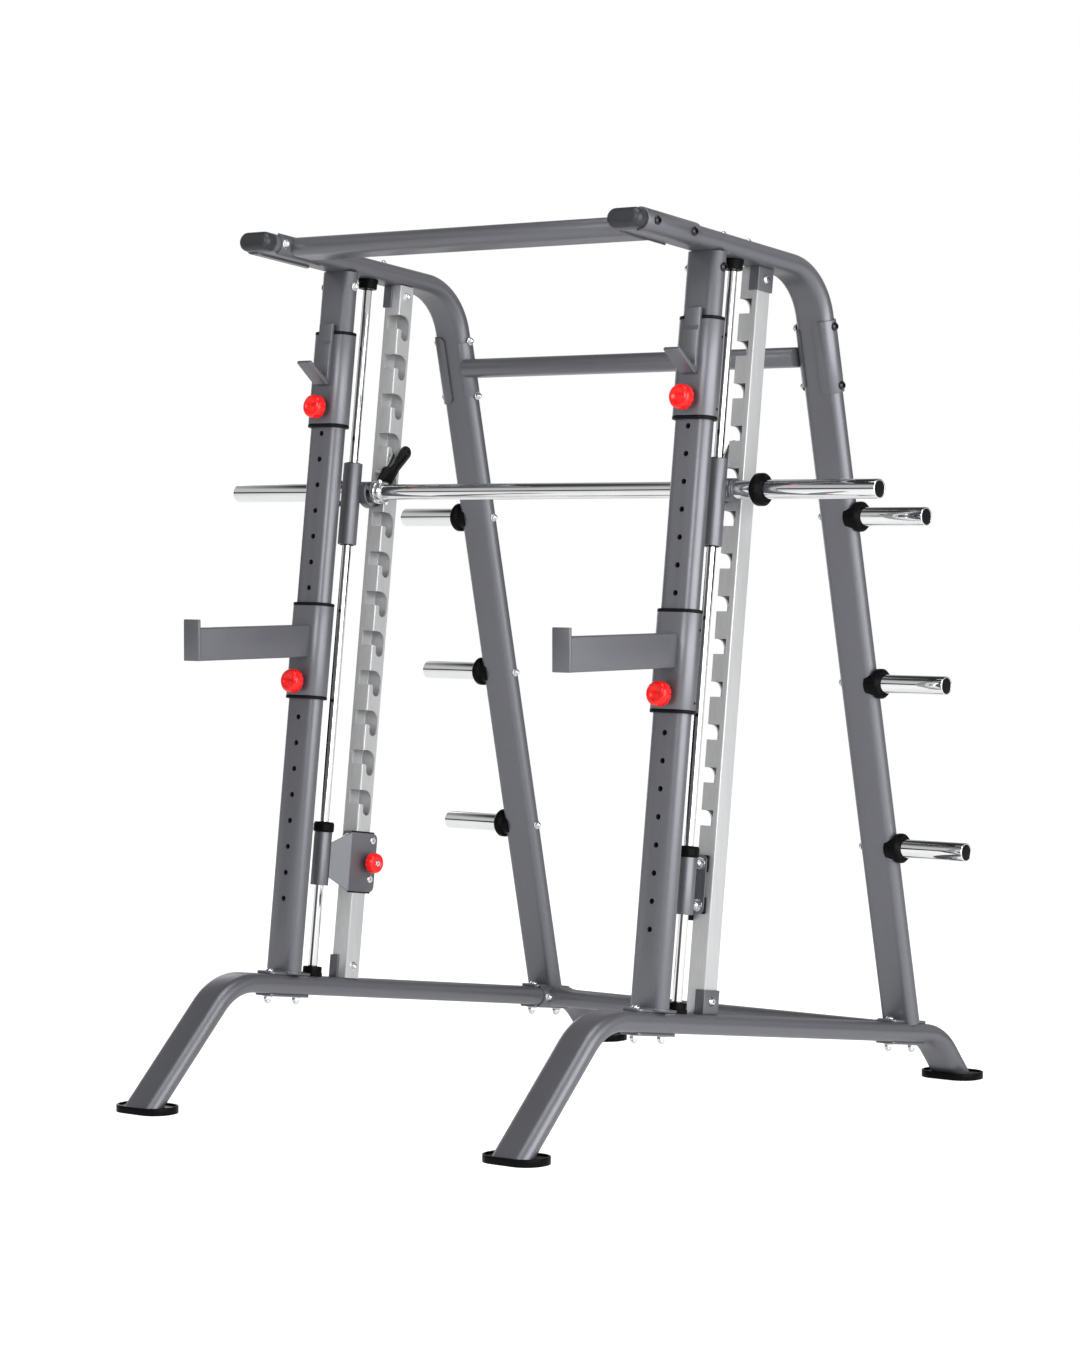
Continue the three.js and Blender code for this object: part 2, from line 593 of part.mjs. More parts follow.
// An outline in the x-n plane, extruded along u.
function planPlate(points, u0, u1) {
  const shape = new THREE.Shape(points.map(([x, n]) => new THREE.Vector2(x, n)));
  return new THREE.ExtrudeGeometry(shape, { depth: u1 - u0, bevelEnabled: false }).translate(0, 0, u0);
}

function bumper(side) {
  const { bumperTop, bumperHeight, bumperRadius } = STOP;
  const low = bumperTop - bumperHeight;
  const bore = ROD.radius + RUN;
  const profile = [
    [bore, low], [bumperRadius, low], [bumperRadius, bumperTop - 4], [bumperRadius - 4, bumperTop],
    [bore, bumperTop], [bore, low],
  ].map(([radius, u]) => new THREE.Vector2(radius, u));
  return new THREE.LatheGeometry(profile, 16).rotateX(Math.PI / 2).translate(side * ROD.x, ROD.n, 0);
}

// ---------------------------------------------------------------- plate horns
// Each horn's root is coped to the round outer side of the rear leg.
function plateHorn(side, z) {
  const { radius, tip } = HORN;
  const root = SIDE_X + 30;
  const profile = [[root, 0], [root, radius], [tip - 2, radius], [tip, radius - 2], [tip, 0]];
  const horn = side > 0 ? turnedAlongX(profile, 20)
    : turnedAlongX(profile.map(([x, r]) => [-x, r]).reverse(), 20);
  const leg = tubeClearance().rotateX(legLean).translate(side * SIDE_X, 0, 0);
  return cut(horn, leg).translate(0, legY(z), z);
}

// The rubber ring that keeps plates off the leg, coped like the horn.
function hornRing(side, z) {
  const place = { radius: HORN.ring, inner: HORN.radius, width: HORN.ringWidth, x: HORN.ringX, chamfer: 6 };
  const leg = tubeClearance().rotateX(legLean).translate(side * SIDE_X, 0, 0);
  return cut(ringOnX(place, side), leg).translate(0, legY(z), z);
}

// ---------------------------------------------------------------- assembly
const collarPin = { ...KNOB, pinLength: -collarFront - 1.2 };
const stopPin = { ...STOP_KNOB, pin: 5, pinLength: STOP_BOX.thick + 3 };

SIDES.forEach(({ name, sign }) => {
  const x = sign * SIDE_X;
  const rodX = sign * ROD.x;
  add(machine, `base_tube_${name}`, baseTube(x), FRAME_PAINT);
  add(machine, `foot_pad_front_${name}`, footPad(x, -PAD.y), BLACK_RUBBER);
  add(machine, `foot_pad_rear_${name}`, footPad(x, PAD.y), BLACK_RUBBER);
  add(machine, `top_tube_${name}`, topTube(x), FRAME_PAINT);
  HORN.heights.forEach((z, index) => {
    const place = ['upper', 'middle', 'lower'][index];
    add(machine, `plate_horn_${place}_${name}`, plateHorn(sign, z), CHROME);
    add(machine, `horn_ring_${place}_${name}`, hornRing(sign, z), BLACK_RUBBER);
  });

  add(leaning, `upright_${name}`, upright(x), FRAME_PAINT);
  add(leaning, `top_cap_${name}`, topCap(x), CAP_PLASTIC);
  add(leaning, `guide_rod_${name}`,
    rodBetween([rodX, ROD.n, GAP], [rodX, ROD.n, UPRIGHT_HEIGHT - GAP], ROD.radius, 20), CHROME);
  add(leaning, `rod_collar_top_${name}`,
    rodCollar(rodX, UPRIGHT_HEIGHT - GAP - ROD_COLLAR.height), BLACK_RUBBER);
  add(leaning, `rod_collar_bottom_${name}`, rodCollar(rodX, GAP), BLACK_RUBBER);
  add(leaning, `latch_rail_${name}`, latchRail(sign), RAIL_SILVER);
  add(leaning, `rail_bracket_top_${name}`,
    railBracket(sign, UPRIGHT_HEIGHT - GAP - RAIL_BRACKET.height), FRAME_PAINT);
  add(leaning, `rail_bracket_bottom_${name}`, railBracket(sign, GAP), FRAME_PAINT);

  add(leaning, `carriage_${name}`, carriage(sign), FRAME_PAINT);
  add(leaning, `latch_hook_${name}`, latchHook(sign), LEVER_BLACK);
  add(leaning, `bar_ring_${name}`, barRing(sign), BLACK_RUBBER);
  add(leaning, `hook_collar_${name}`, hookCollar(x), FRAME_PAINT);
  add(leaning, `hook_knob_${name}`, knob([x, collarFront - GAP, HOOK_KNOB_U], [0, -1, 0], collarPin), RED_KNOB);
  add(leaning, `arm_collar_${name}`, armCollar(x), FRAME_PAINT);
  add(leaning, `arm_knob_${name}`, knob([x, collarFront - GAP, ARM_KNOB_U], [0, -1, 0], collarPin), RED_KNOB);
  add(leaning, `stop_${name}`, stop(sign), FRAME_PAINT);
  add(leaning, `stop_bumper_${name}`, bumper(sign), BLACK_RUBBER);
  const stopFace = sign * (STOP_BOX.inner - STOP_BOX.thick - GAP);
  add(leaning, `stop_knob_${name}`,
    knob([stopFace, STOP_KNOB.n, STOP_KNOB.u], [-sign, 0, 0], stopPin), RED_KNOB);
});

const reach = SIDE_X - OVAL.width / 2 - 2;
add(leaning, 'front_crossbar',
  crossbar(reach, Math.PI / 2, SADDLE.front).translate(0, FRONT_CROSSBAR_N, archU), FRAME_PAINT);
add(machine, 'rear_crossbar',
  crossbar(reach, legLean, SADDLE.rear).translate(0, legY(REAR_CROSSBAR_Z), REAR_CROSSBAR_Z), FRAME_PAINT);
add(leaning, 'lower_crossbar',
  crossbar(reach, Math.PI / 2, SADDLE.low).translate(0, LOWER_CROSSBAR_N, -tubeRadius), FRAME_PAINT);
add(leaning, 'bar', barbell(), CHROME);

machine.updateMatrixWorld(true);
export default machine;
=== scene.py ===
"""Smith machine: smooth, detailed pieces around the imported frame, with a studio and a camera.

Sizes are in millimetres and are scaled to metres when a mesh is made. Most parts are placed in the
leaning frame of the uprights: x across, n back from the uprights' front face, u up along them.
"""
import math

import bmesh
import bpy
from mathutils import Matrix, Vector

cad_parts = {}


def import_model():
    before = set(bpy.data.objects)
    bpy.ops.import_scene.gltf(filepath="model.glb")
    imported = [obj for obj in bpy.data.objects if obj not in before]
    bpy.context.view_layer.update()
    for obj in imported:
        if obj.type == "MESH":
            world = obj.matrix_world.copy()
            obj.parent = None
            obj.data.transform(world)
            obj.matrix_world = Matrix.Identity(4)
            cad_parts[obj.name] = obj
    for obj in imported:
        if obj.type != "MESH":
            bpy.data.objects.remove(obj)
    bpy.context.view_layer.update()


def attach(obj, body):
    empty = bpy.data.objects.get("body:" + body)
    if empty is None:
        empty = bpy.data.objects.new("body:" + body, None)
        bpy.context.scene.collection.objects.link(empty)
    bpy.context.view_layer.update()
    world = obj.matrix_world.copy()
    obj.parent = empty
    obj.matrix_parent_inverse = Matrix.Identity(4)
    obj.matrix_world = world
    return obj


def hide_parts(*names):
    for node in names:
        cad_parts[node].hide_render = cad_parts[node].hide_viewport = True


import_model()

# ---- driving dimensions
LEAN = math.radians(7)
BASE_RISE = 323.5
UPRIGHT_BACK = 456.8
SIDE_X = 643
UPRIGHT_HEIGHT = 1962
GAP = 0.3
POST_TOP = UPRIGHT_HEIGHT - GAP
OVAL_WIDTH, OVAL_DEPTH = 112, 52
TUBE_R = OVAL_DEPTH / 2
BASE_FRONT_BEND, BASE_REAR_BEND = -205, 1315
FRONT_LEG_SLOPE, REAR_LEG_SLOPE = math.radians(45), math.radians(41)
ARCH_U = UPRIGHT_HEIGHT + TUBE_R
BEND_RADIUS = 172
ARCH_CORNER, ARCH_FRONT = 475, -298
PLUG_LENGTH = 38
LEG_LEAN = math.radians(12.25)
REAR_LEG_N = 1170
HOLE_PITCH, HOLE_TOP, HOLE_COUNT, HOLE_R = 72, 1722, 22, 7.4
FRONT_CROSSBAR_N, LOWER_CROSSBAR_N, REAR_CROSSBAR_Z = -190, 1170, 2015
ROD_X, ROD_N, ROD_R = 642, 138.6, 13
RAIL_X, RAIL_N, RAIL_SIZE, RAIL_WALL = 629, 260.7, 56, 5
SLOT_TOP, SLOT_PITCH, SLOT_COUNT = 1877, 112.3, 13
SLOT_MOUTH, SLOT_DROP, SLOT_REACH, SLOT_SEAT = 40, 71, 47.3, 30
BRACKET_HEIGHT, CLAMP_SHEET = 63, 5
STOP_X, STOP_REAR, STOP_LOW, STOP_TOP = 593, 311, 244, 409
STOP_BOLT_LEVELS = (281, 390)
BAR_N, BAR_U, SHAFT_R, SLEEVE_R = 186.7, 1364.6, 22, 25.5
HOOK_ANGLE, HOOK_REACH, HOOK_SPAN = 66, 70.5, (579, 591)
LEVER_ANGLE, LEVER_REACH, LEVER_SPAN = 52, 159, (573.4, 586.4)
SLIDER_LOW, SLIDER_HIGH, SLIDER_R = 1211, 1440, 26.5
HOOK_COLLAR_U, ARM_COLLAR_U, COLLAR_HEIGHT = 1658, 899.5, 268
COLLAR_WIDTH, COLLAR_DEPTH, COLLAR_WALL, LINER = 130, 70, 5, 9
COLLAR_FRONT = TUBE_R - COLLAR_DEPTH / 2
HOOK_KNOB_U, ARM_KNOB_U = 1576, 811
ARM_TIP, ARM_LOW, ARM_TOP = -780.5, 1198, 1287
PAD_Y, PAD_HEIGHT, PAD_RIM = 959, 16, 4
PAD_WIDTH, PAD_DEPTH, PAD_CORNER = 180, 118, 54
HORN_HEIGHTS = {"upper": 1586, "middle": 1132, "lower": 677}
HORN_TIP, HORN_R = 927, 25.5
BAR_END = 1124.8
SIDES = {"left": -1, "right": 1}

shift = Matrix.Translation
LEANING = shift((0, -UPRIGHT_BACK, BASE_RISE)) @ Matrix.Rotation(-LEAN, 4, "X")


def leaning(x, n, u):
    """A point of the leaning frame in world millimetres."""
    return LEANING @ Vector((x, n, u))


ARCH = leaning(0, ARCH_CORNER, ARCH_U)


def leg_y(z):
    """The rear leg's centre line at a height, in world millimetres."""
    return ARCH.y + (ARCH.z - z) * math.tan(LEG_LEAN)


def leg_place(x, z):
    """A frame on the rear leg's centre line: its Z runs up the leg and its Y points back."""
    return shift((x, leg_y(z), z)) @ Matrix.Rotation(LEG_LEAN, 4, "X")


# ---- outlines
def soften(points, radius, steps=4, closed=True):
    """A polyline in 2-D with its corners rounded. A point may carry its own radius as a third number."""
    out = []
    count = len(points)
    for i, point in enumerate(points):
        if not closed and i in (0, count - 1):
            out.append(Vector(point[:2]))
            continue
        here = Vector(point[:2])
        into = Vector(points[i - 1][:2]) - here
        away = Vector(points[(i + 1) % count][:2]) - here
        r = point[2] if len(point) > 2 else radius
        angle = into.angle(away)
        if r <= 0 or angle > math.pi - 1e-3:
            out.append(here)
            continue
        reach = min(r / math.tan(angle / 2), 0.48 * into.length, 0.48 * away.length)
        r = reach * math.tan(angle / 2)
        middle = here + (into.normalized() + away.normalized()).normalized() * (r / math.sin(angle / 2))
        start = here + into.normalized() * reach - middle
        end = here + away.normalized() * reach - middle
        turn = start.angle_signed(end)
        for k in range(steps + 1):
            out.append(middle + Matrix.Rotation(-turn * k / steps, 2) @ start)
    return out


def oval(width=OVAL_WIDTH, depth=OVAL_DEPTH, steps=20):
    """Flat oval: straight front and back, half-round sides."""
    radius = depth / 2
    run = width / 2 - radius
    out = []
    for side in (0, 1):
        for k in range(steps + 1):
            angle = -math.pi / 2 + math.pi * (side + k / steps)
            x = radius * math.cos(angle) + (run if side == 0 else -run)
            out.append(Vector((x, radius * math.sin(angle))))
    return out


def polar(radius, angle):
    return Vector((radius * math.cos(angle), radius * math.sin(angle)))


def circle(radius, steps=48):
    return [polar(radius, 2 * math.pi * k / steps) for k in range(steps)]


def rounded_rectangle(width, height, radius, steps=5):
    w, h = width / 2, height / 2
    return soften([(-w, -h), (w, -h), (w, h), (-w, h)], radius, steps)


# ---- solids
def loft(rings):
    """A closed solid through rings of the same number of points, capped at both ends."""
    bm = bmesh.new()
    made = [[bm.verts.new(p) for p in ring] for ring in rings]
    count = len(made[0])
    for low, high in zip(made, made[1:]):
        for i in range(count):
            j = (i + 1) % count
            bm.faces.new((low[i], low[j], high[j], high[i]))
    bm.faces.new(list(reversed(made[0])))
    bm.faces.new(made[-1])
    bmesh.ops.recalc_face_normals(bm, faces=bm.faces)
    return bm


def inset(outline, amount):
    """An outline moved inwards by an amount. The outline runs anticlockwise."""
    out = []
    count = len(outline)
    for i, here in enumerate(outline):
        before = (here - outline[i - 1]).normalized()
        after = (outline[(i + 1) % count] - here).normalized()
        normal = Vector((-(before.y + after.y), before.x + after.x)).normalized()
        stretch = max(0.5, normal.dot(Vector((-before.y, before.x))))
        out.append(here + normal * (amount / stretch))
    return out


def prism(outline, low, high, edge=1.0, steps=2):
    """An outline extruded along Z with rounded end edges."""
    rings = []
    for k in range(steps + 1):
        angle = math.pi / 2 * k / steps
        ring = inset(outline, edge * (1 - math.sin(angle))) if edge else outline
        rings.append((ring, low + edge * (1 - math.cos(angle))))
    for k in range(steps + 1):
        angle = math.pi / 2 * k / steps
        ring = inset(outline, edge * (1 - math.cos(angle))) if edge else outline
        rings.append((ring, high - edge * (1 - math.sin(angle))))
    return loft([[Vector((p.x, p.y, z)) for p in ring] for ring, z in rings])


def corner_points(profile, rounding, closed):
    """A (z, radius) profile as (radius, z) points with rounded corners."""
    return soften([(r, z, *rest) for z, r, *rest in profile], rounding, 3, closed)


def spun(point, k, steps):
    """A (radius, z) point turned about Z by k of a number of steps."""
    turn = 2 * math.pi * k / steps
    return point.x * math.cos(turn), point.x * math.sin(turn), point.y


def turned(profile, steps=48, rounding=0.8):
    """A turned solid about Z. The profile is (z, radius) points, from axis to axis."""
    bm = bmesh.new()
    rings = []
    for point in corner_points(profile, rounding, False):
        if point.x < 1e-6:
            rings.append([bm.verts.new((0, 0, point.y))])
        else:
            rings.append([bm.verts.new(spun(point, k, steps)) for k in range(steps)])
    for low, high in zip(rings, rings[1:]):
        for i in range(steps):
            j = (i + 1) % steps
            corners = [low[i % len(low)], low[j % len(low)], high[j % len(high)], high[i % len(high)]]
            unique = list(dict.fromkeys(corners))
            if len(unique) > 2:
                bm.faces.new(unique)
    bmesh.ops.recalc_face_normals(bm, faces=bm.faces)
    return bm


def ring_solid(profile, steps=48, rounding=0.8):
    """A ring turned about Z from a closed profile of (z, radius) points."""
    points = corner_points(profile, rounding, True)
    bm = bmesh.new()
    rings = [[bm.verts.new(spun(p, k, steps)) for p in points] for k in range(steps)]
    for low, high in zip(rings, rings[1:] + rings[:1]):
        for i in range(len(points)):
            j = (i + 1) % len(points)
            bm.faces.new((low[i], low[j], high[j], high[i]))
    bmesh.ops.recalc_face_normals(bm, faces=bm.faces)
    return bm


def bushing(low, high, bore, radius, edge):
    """A plain ring turned about Z."""
    return ring_solid([(low, bore), (low, radius), (high, radius), (high, bore)], 56, edge)


def block(low, high, edge=1.5):
    """A box from corner to corner with rounded edges."""
    bm = bmesh.new()
    bmesh.ops.create_cube(bm, size=1)
    low, high = Vector(low), Vector(high)
    size = high - low
    bm.transform(shift((low + high) / 2) @ Matrix.Diagonal((*size, 1)))
    if edge:
        bmesh.ops.bevel(bm, geom=bm.edges[:], offset=edge, segments=3, profile=0.5, affect="EDGES")
    return bm


def route(corners, radius=BEND_RADIUS, steps=20):
    """Stations of a (y, z) route with round bends: (point, direction) pairs."""
    points = [Vector(c) for c in corners]
    stations = [(points[0], (points[1] - points[0]).normalized())]
    for before, here, after in zip(points, points[1:], points[2:]):
        into, out = (here - before).normalized(), (after - here).normalized()
        turn = into.angle(out)
        start = here - into * (radius * math.tan(turn / 2))
        side = (out - into * into.dot(out)).normalized()
        for k in range(steps + 1):
            a = turn * k / steps
            stations.append((start + into * (radius * math.sin(a)) + side * (radius * (1 - math.cos(a))),
                             into * math.cos(a) + side * math.sin(a)))
    stations.append((points[-1], (points[-1] - points[-2]).normalized()))
    return stations


def bent_tube(outline, stations):
    """An oval tube along stations in the side plane. The outline's x stays along X."""
    rings = []
    for point, along in stations:
        across = Vector((-along.y, along.x))
        rings.append([Vector((p.x, point.x + across.x * p.y, point.y + across.y * p.y)) for p in outline])
    return loft(rings)


def merged(*parts):
    """Several solids in one mesh, each still its own closed surface."""
    bm = parts[0]
    for part in parts[1:]:
        holder = bpy.data.meshes.new("part")
        part.to_mesh(holder)
        part.free()
        bm.from_mesh(holder)
        bpy.data.meshes.remove(holder)
    return bm


def moved(bm, matrix):
    bm.transform(matrix)
    return bm


def toward(origin, direction):
    """A frame at origin whose Z points along direction."""
    return shift(origin) @ Vector(direction).to_track_quat("Z", "Y").to_matrix().to_4x4()


ALONG_X = Matrix.Rotation(math.pi / 2, 4, "Y")
# Takes an outline drawn as (n, u) and extruded along Z to the side plane, extruded along X.
SIDE_PLANE = Matrix(((0, 0, 1, 0), (1, 0, 0, 0), (0, 1, 0, 0), (0, 0, 0, 1)))
ON_POST = shift((SIDE_X, TUBE_R, 0))
ON_ROD = shift((ROD_X, ROD_N, 0))
ON_RAIL = shift((RAIL_X, RAIL_N, 0))
ON_BAR = shift((0, BAR_N, BAR_U)) @ ALONG_X
BAR_PLACE = LEANING @ shift((0, BAR_N, BAR_U)) @ ALONG_X


def side_plate(outline, low, high, edge=1.0):
    """An (n, u) outline extruded along X from low to high."""
    return moved(prism(outline, low, high, edge), SIDE_PLANE)


# ---- pieces
def add_to_scene(obj):
    bpy.context.scene.collection.objects.link(obj)


def piece(name, bm, body, material, replaces=(), place=None, side=1, sharp=32):
    """A finished object on a body. place is applied first, then the mirror for the left side.

    material may be a list. Its materials fill the mesh's material slots in order.
    """
    if place is not None:
        bm.transform(place)
    if side < 0:
        bm.transform(Matrix.Diagonal((-1, 1, 1, 1)))
        bmesh.ops.reverse_faces(bm, faces=bm.faces)
    bm.transform(Matrix.Scale(0.001, 4))
    mesh = bpy.data.meshes.new(name)
    bm.to_mesh(mesh)
    bm.free()
    mesh.shade_smooth()
    mesh.set_sharp_from_angle(angle=math.radians(sharp))
    materials = material if isinstance(material, list) else [material]
    for one in materials:
        mesh.materials.append(one)
    obj = bpy.data.objects.new(name, mesh)
    add_to_scene(obj)
    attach(obj, body)
    if replaces:
        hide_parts(*replaces)


def carve(bm, cutters, inside=0):
    """Cuts the cutters out of a solid. Faces of the cut take the material index `inside`."""
    meshes = []
    for source in (bm, merged(*cutters)):
        mesh = bpy.data.meshes.new("carve")
        source.to_mesh(mesh)
        source.free()
        meshes.append(mesh)
    for mesh, index in zip(meshes, (0, inside)):
        for _ in range(inside + 1):
            mesh.materials.append(None)
        for polygon in mesh.polygons:
            polygon.material_index = index
    target, tool = (bpy.data.objects.new("carve", mesh) for mesh in meshes)
    for obj in (target, tool):
        add_to_scene(obj)
    modifier = target.modifiers.new("carve", "BOOLEAN")
    modifier.operation, modifier.solver, modifier.object = "DIFFERENCE", "EXACT", tool
    graph = bpy.context.evaluated_depsgraph_get()
    result = bmesh.new()
    result.from_object(target, graph)
    for obj in (target, tool):
        bpy.data.objects.remove(obj)
    return result


# ---- materials
class Shader:
    """A Principled material with small helpers for its nodes."""

    def __init__(self, name, color, roughness, metallic, **sockets):
        self.material = bpy.data.materials.new(name)
        self.material.use_nodes = True
        self.tree = self.material.node_tree
        self.main = self.tree.nodes["Principled BSDF"]
        self.color = (*color, 1)
        self.main.inputs["Base Color"].default_value = self.color
        self.main.inputs["Roughness"].default_value = roughness
        self.main.inputs["Metallic"].default_value = metallic
        for socket, value in sockets.items():
            self.main.inputs[socket.replace("_", " ")].default_value = value

    def node(self, kind, **values):
        made = self.tree.nodes.new(kind)
        for key, value in values.items():
            setattr(made, key, value)
        return made

    def link(self, out, into):
        self.tree.links.new(out, into)

    def noise(self, scale, detail=4.0, stretch=(1, 1, 1)):
        """Noise in the object's own metres. A stretch under 1 draws it out along that axis."""
        place = self.node("ShaderNodeTexCoord")
        mapping = self.node("ShaderNodeMapping")
        mapping.inputs["Scale"].default_value = stretch
        noise = self.node("ShaderNodeTexNoise")
        noise.inputs["Scale"].default_value = scale
        noise.inputs["Detail"].default_value = detail
        self.link(place.outputs["Object"], mapping.inputs["Vector"])
        self.link(mapping.outputs["Vector"], noise.inputs["Vector"])
        return noise.outputs["Fac"]

    def ramp(self, value, stops):
        """A value turned to a colour through (position, colour) stops."""
        ramp = self.node("ShaderNodeValToRGB")
        elements = ramp.color_ramp.elements
        while len(elements) < len(stops):
            elements.new(0.5)
        for element, (position, color) in zip(elements, stops):
            element.position = position
            element.color = (*color, 1)
        self.link(value, ramp.inputs["Fac"])
        return ramp.outputs["Color"]

    def vary_color(self, value, spread):
        dark = tuple(c * (1 - spread) for c in self.color[:3])
        light = tuple(min(1, c * (1 + spread)) for c in self.color[:3])
        self.link(self.ramp(value, [(0.35, dark), (0.65, light)]), self.main.inputs["Base Color"])

    def vary_roughness(self, value, low, high):
        scale = self.node("ShaderNodeMapRange")
        scale.inputs["To Min"].default_value = low
        scale.inputs["To Max"].default_value = high
        self.link(value, scale.inputs["Value"])
        self.link(scale.outputs["Result"], self.main.inputs["Roughness"])

    def bump(self, value, strength, distance=0.0005):
        bump = self.node("ShaderNodeBump")
        bump.inputs["Strength"].default_value = strength
        bump.inputs["Distance"].default_value = distance
        self.link(value, bump.inputs["Height"])
        self.link(bump.outputs["Normal"], self.main.inputs["Normal"])


def surface(name, color, roughness, metallic, tint, gloss, grain, **sockets):
    """A material whose colour, roughness and bump each follow a noise.

    tint is (noise, spread), gloss is (noise, low, high) and grain is (noise, strength, distance).
    A noise is (scale, detail), with a stretch where it is drawn out along the part.
    """
    s = Shader(name, color, roughness, metallic, **sockets)
    if tint:
        s.vary_color(s.noise(*tint[0]), *tint[1:])
    s.vary_roughness(s.noise(*gloss[0]), *gloss[1:])
    if grain:
        s.bump(s.noise(*grain[0]), *grain[1:])
    return s.material


# Satin metallic grey powder coat with a fine orange peel.
PAINT = surface("powder_coat", (0.150, 0.152, 0.168), 0.40, 0.66,
                ((260, 3), 0.035), ((18, 4), 0.36, 0.43), ((520, 2), 0.10, 0.0003))
# Polished chrome with faint handling haze.
CHROME = surface("chrome", (0.84, 0.845, 0.85), 0.05, 1.0,
                 ((9, 3), 0.02), ((14, 6), 0.03, 0.06), ((6, 2), 0.004, 0.0003))
# Bright zinc plating of the bolts and nuts.
ZINC = surface("bolt_zinc", (0.72, 0.73, 0.75), 0.18, 1.0,
               ((300, 3), 0.10), ((420, 4), 0.12, 0.26), ((900, 2), 0.06, 0.0002))
# Black oxide bolt heads.
BLACK_BOLT = surface("bolt_black", (0.010, 0.010, 0.011), 0.14, 0.2,
                     None, ((400, 4), 0.10, 0.20), ((900, 2), 0.08, 0.0002))
# Silver painted rail, brushed along its length.
SILVER = surface("rail_silver", (0.49, 0.493, 0.498), 0.36, 0.45,
                 ((240, 5, (1, 1, 0.03)), 0.04), ((160, 4, (1, 1, 0.04)), 0.29, 0.40),
                 ((420, 3, (1, 1, 0.05)), 0.05, 0.0002))
# Black moulded rubber with a soft sheen.
RUBBER = surface("black_rubber", (0.004, 0.004, 0.0045), 0.30, 0.0,
                 ((120, 4), 0.25), ((60, 4), 0.26, 0.36), ((700, 4), 0.08, 0.0003),
                 Specular_IOR_Level=0.04)
# Satin black moulded plastic liners and caps.
PLASTIC = surface("black_plastic", (0.005, 0.005, 0.006), 0.34, 0.0,
                  None, ((70, 4), 0.34, 0.5), ((900, 3), 0.12, 0.0003), Specular_IOR_Level=0.08)
# Grey moulded end plugs of the top tubes.
CAP = surface("cap_plastic", (0.028, 0.029, 0.033), 0.30, 0.30,
              ((90, 4), 0.06), ((80, 4), 0.34, 0.48), ((800, 3), 0.10, 0.0003))
# Gloss black enamel of the hooks and levers.
LEVER = surface("lever_black", (0.003, 0.003, 0.0035), 0.26, 0.0,
                None, ((50, 4), 0.18, 0.30), ((300, 3), 0.06, 0.0003),
                Specular_IOR_Level=0.15, Coat_Weight=0.25, Coat_Roughness=0.12)
# Glossy red knob plastic.
RED = surface("red_plastic", (0.86, 0.006, 0.006), 0.28, 0.0,
              ((60, 3), 0.05), ((90, 3), 0.20, 0.32), ((600, 3), 0.05, 0.0002),
              Specular_IOR_Level=0.3, Coat_Weight=0.25, Coat_Roughness=0.08)
# Painted shade: near-black inner walls of the adjustment holes, standing in for the shade inside them.
HOLE_PAINTED_SHADE = surface("hole_painted_shade", (0.006, 0.006, 0.007), 0.7, 0.0, None, ((200, 3), 0.6, 0.8), None)


# ---- fasteners
def hexagon(radius):
    return circle(radius, 6)


def button_head(radius=12.0, height=7.5):
    """A button head with a hexagon socket, standing along Z from z = 0."""
    head = turned([(-1, 0), (-1, radius), (height * 0.35, radius), (height, radius * 0.62, 2), (height, 0)],
                  32, 1.5)
    socket = prism(hexagon(radius * 0.34), height * 0.3, height + 2, 0)
    return carve(head, [socket])


def flat_head(radius=10.5, height=3.4):
    """A low round head with a hexagon socket."""
    profile = [(-1, 0), (-1, radius), (height - 1, radius), (height, radius - 1.6), (height, 0)]
    socket = prism(hexagon(radius * 0.36), height * 0.3, height + 2, 0)
    return carve(turned(profile, 32, 0.5), [socket])


def dome_nut(radius=9.5, height=9):
    """A domed nut on a washer: hexagon below, ball above."""
    washer = turned([(-1, 0), (-1, radius * 1.3), (1.8, radius * 1.3), (1.8, 0)], 32, 0.6)
    body = prism(hexagon(radius), 1.5, 1.5 + height * 0.7, 1, 2)
    dome = turned([(height * 0.5, 0), (height * 0.5, radius * 0.78), (height + 1, radius * 0.78, 6),
                   (height + radius * 0.5, radius * 0.3, 4), (height + radius * 0.55, 0)], 24, 2)
    return merged(washer, body, dome)


def big_nut():
    return dome_nut(11.5, 16)


def stop_nut():
    return dome_nut(12.5, 11)


def set_screw():
    return turned([(-1, 0), (-1, 3.6), (0.9, 3.6, 0.6), (0.9, 1.6), (0.1, 1.6), (0.1, 0)], 20, 0.3)


def fasteners(name, side, body, material, items, place=None):
    """Several bolts in one piece. Each item is (maker, origin, direction)."""
    made = [moved(maker(), toward(origin, direction)) for maker, origin, direction in items]
    piece(name, merged(*made), body, material, place=place, side=side)


# ---- frame
def base_tube(name, side):
    """The side tube along the floor, with a long front leg and a short rear leg."""
    front = leaning(0, BASE_FRONT_BEND, -TUBE_R)
    rear = leaning(0, BASE_REAR_BEND, -TUBE_R)
    below = -60
    start = (front.y - (front.z - below) * math.tan(FRONT_LEG_SLOPE), below)
    end = (rear.y + (rear.z - below) * math.tan(REAR_LEG_SLOPE), below)
    stations = route([start, (front.y, front.z), (rear.y, rear.z), end])
    bm = moved(bent_tube(oval(), stations), shift((SIDE_X, 0, 0)))
    geometry = bm.verts[:] + bm.edges[:] + bm.faces[:]
    cut = bmesh.ops.bisect_plane(bm, geom=geometry, plane_co=(0, 0, PAD_HEIGHT - 0.5),
                                 plane_no=(0, 0, -1), clear_outer=True)
    edges = [e for e in cut["geom_cut"] if isinstance(e, bmesh.types.BMEdge)]
    bmesh.ops.holes_fill(bm, edges=edges)
    piece(f"base_side_tube_{name}", bm, "frame", PAINT, [f"base_tube_{name}"], side=side)


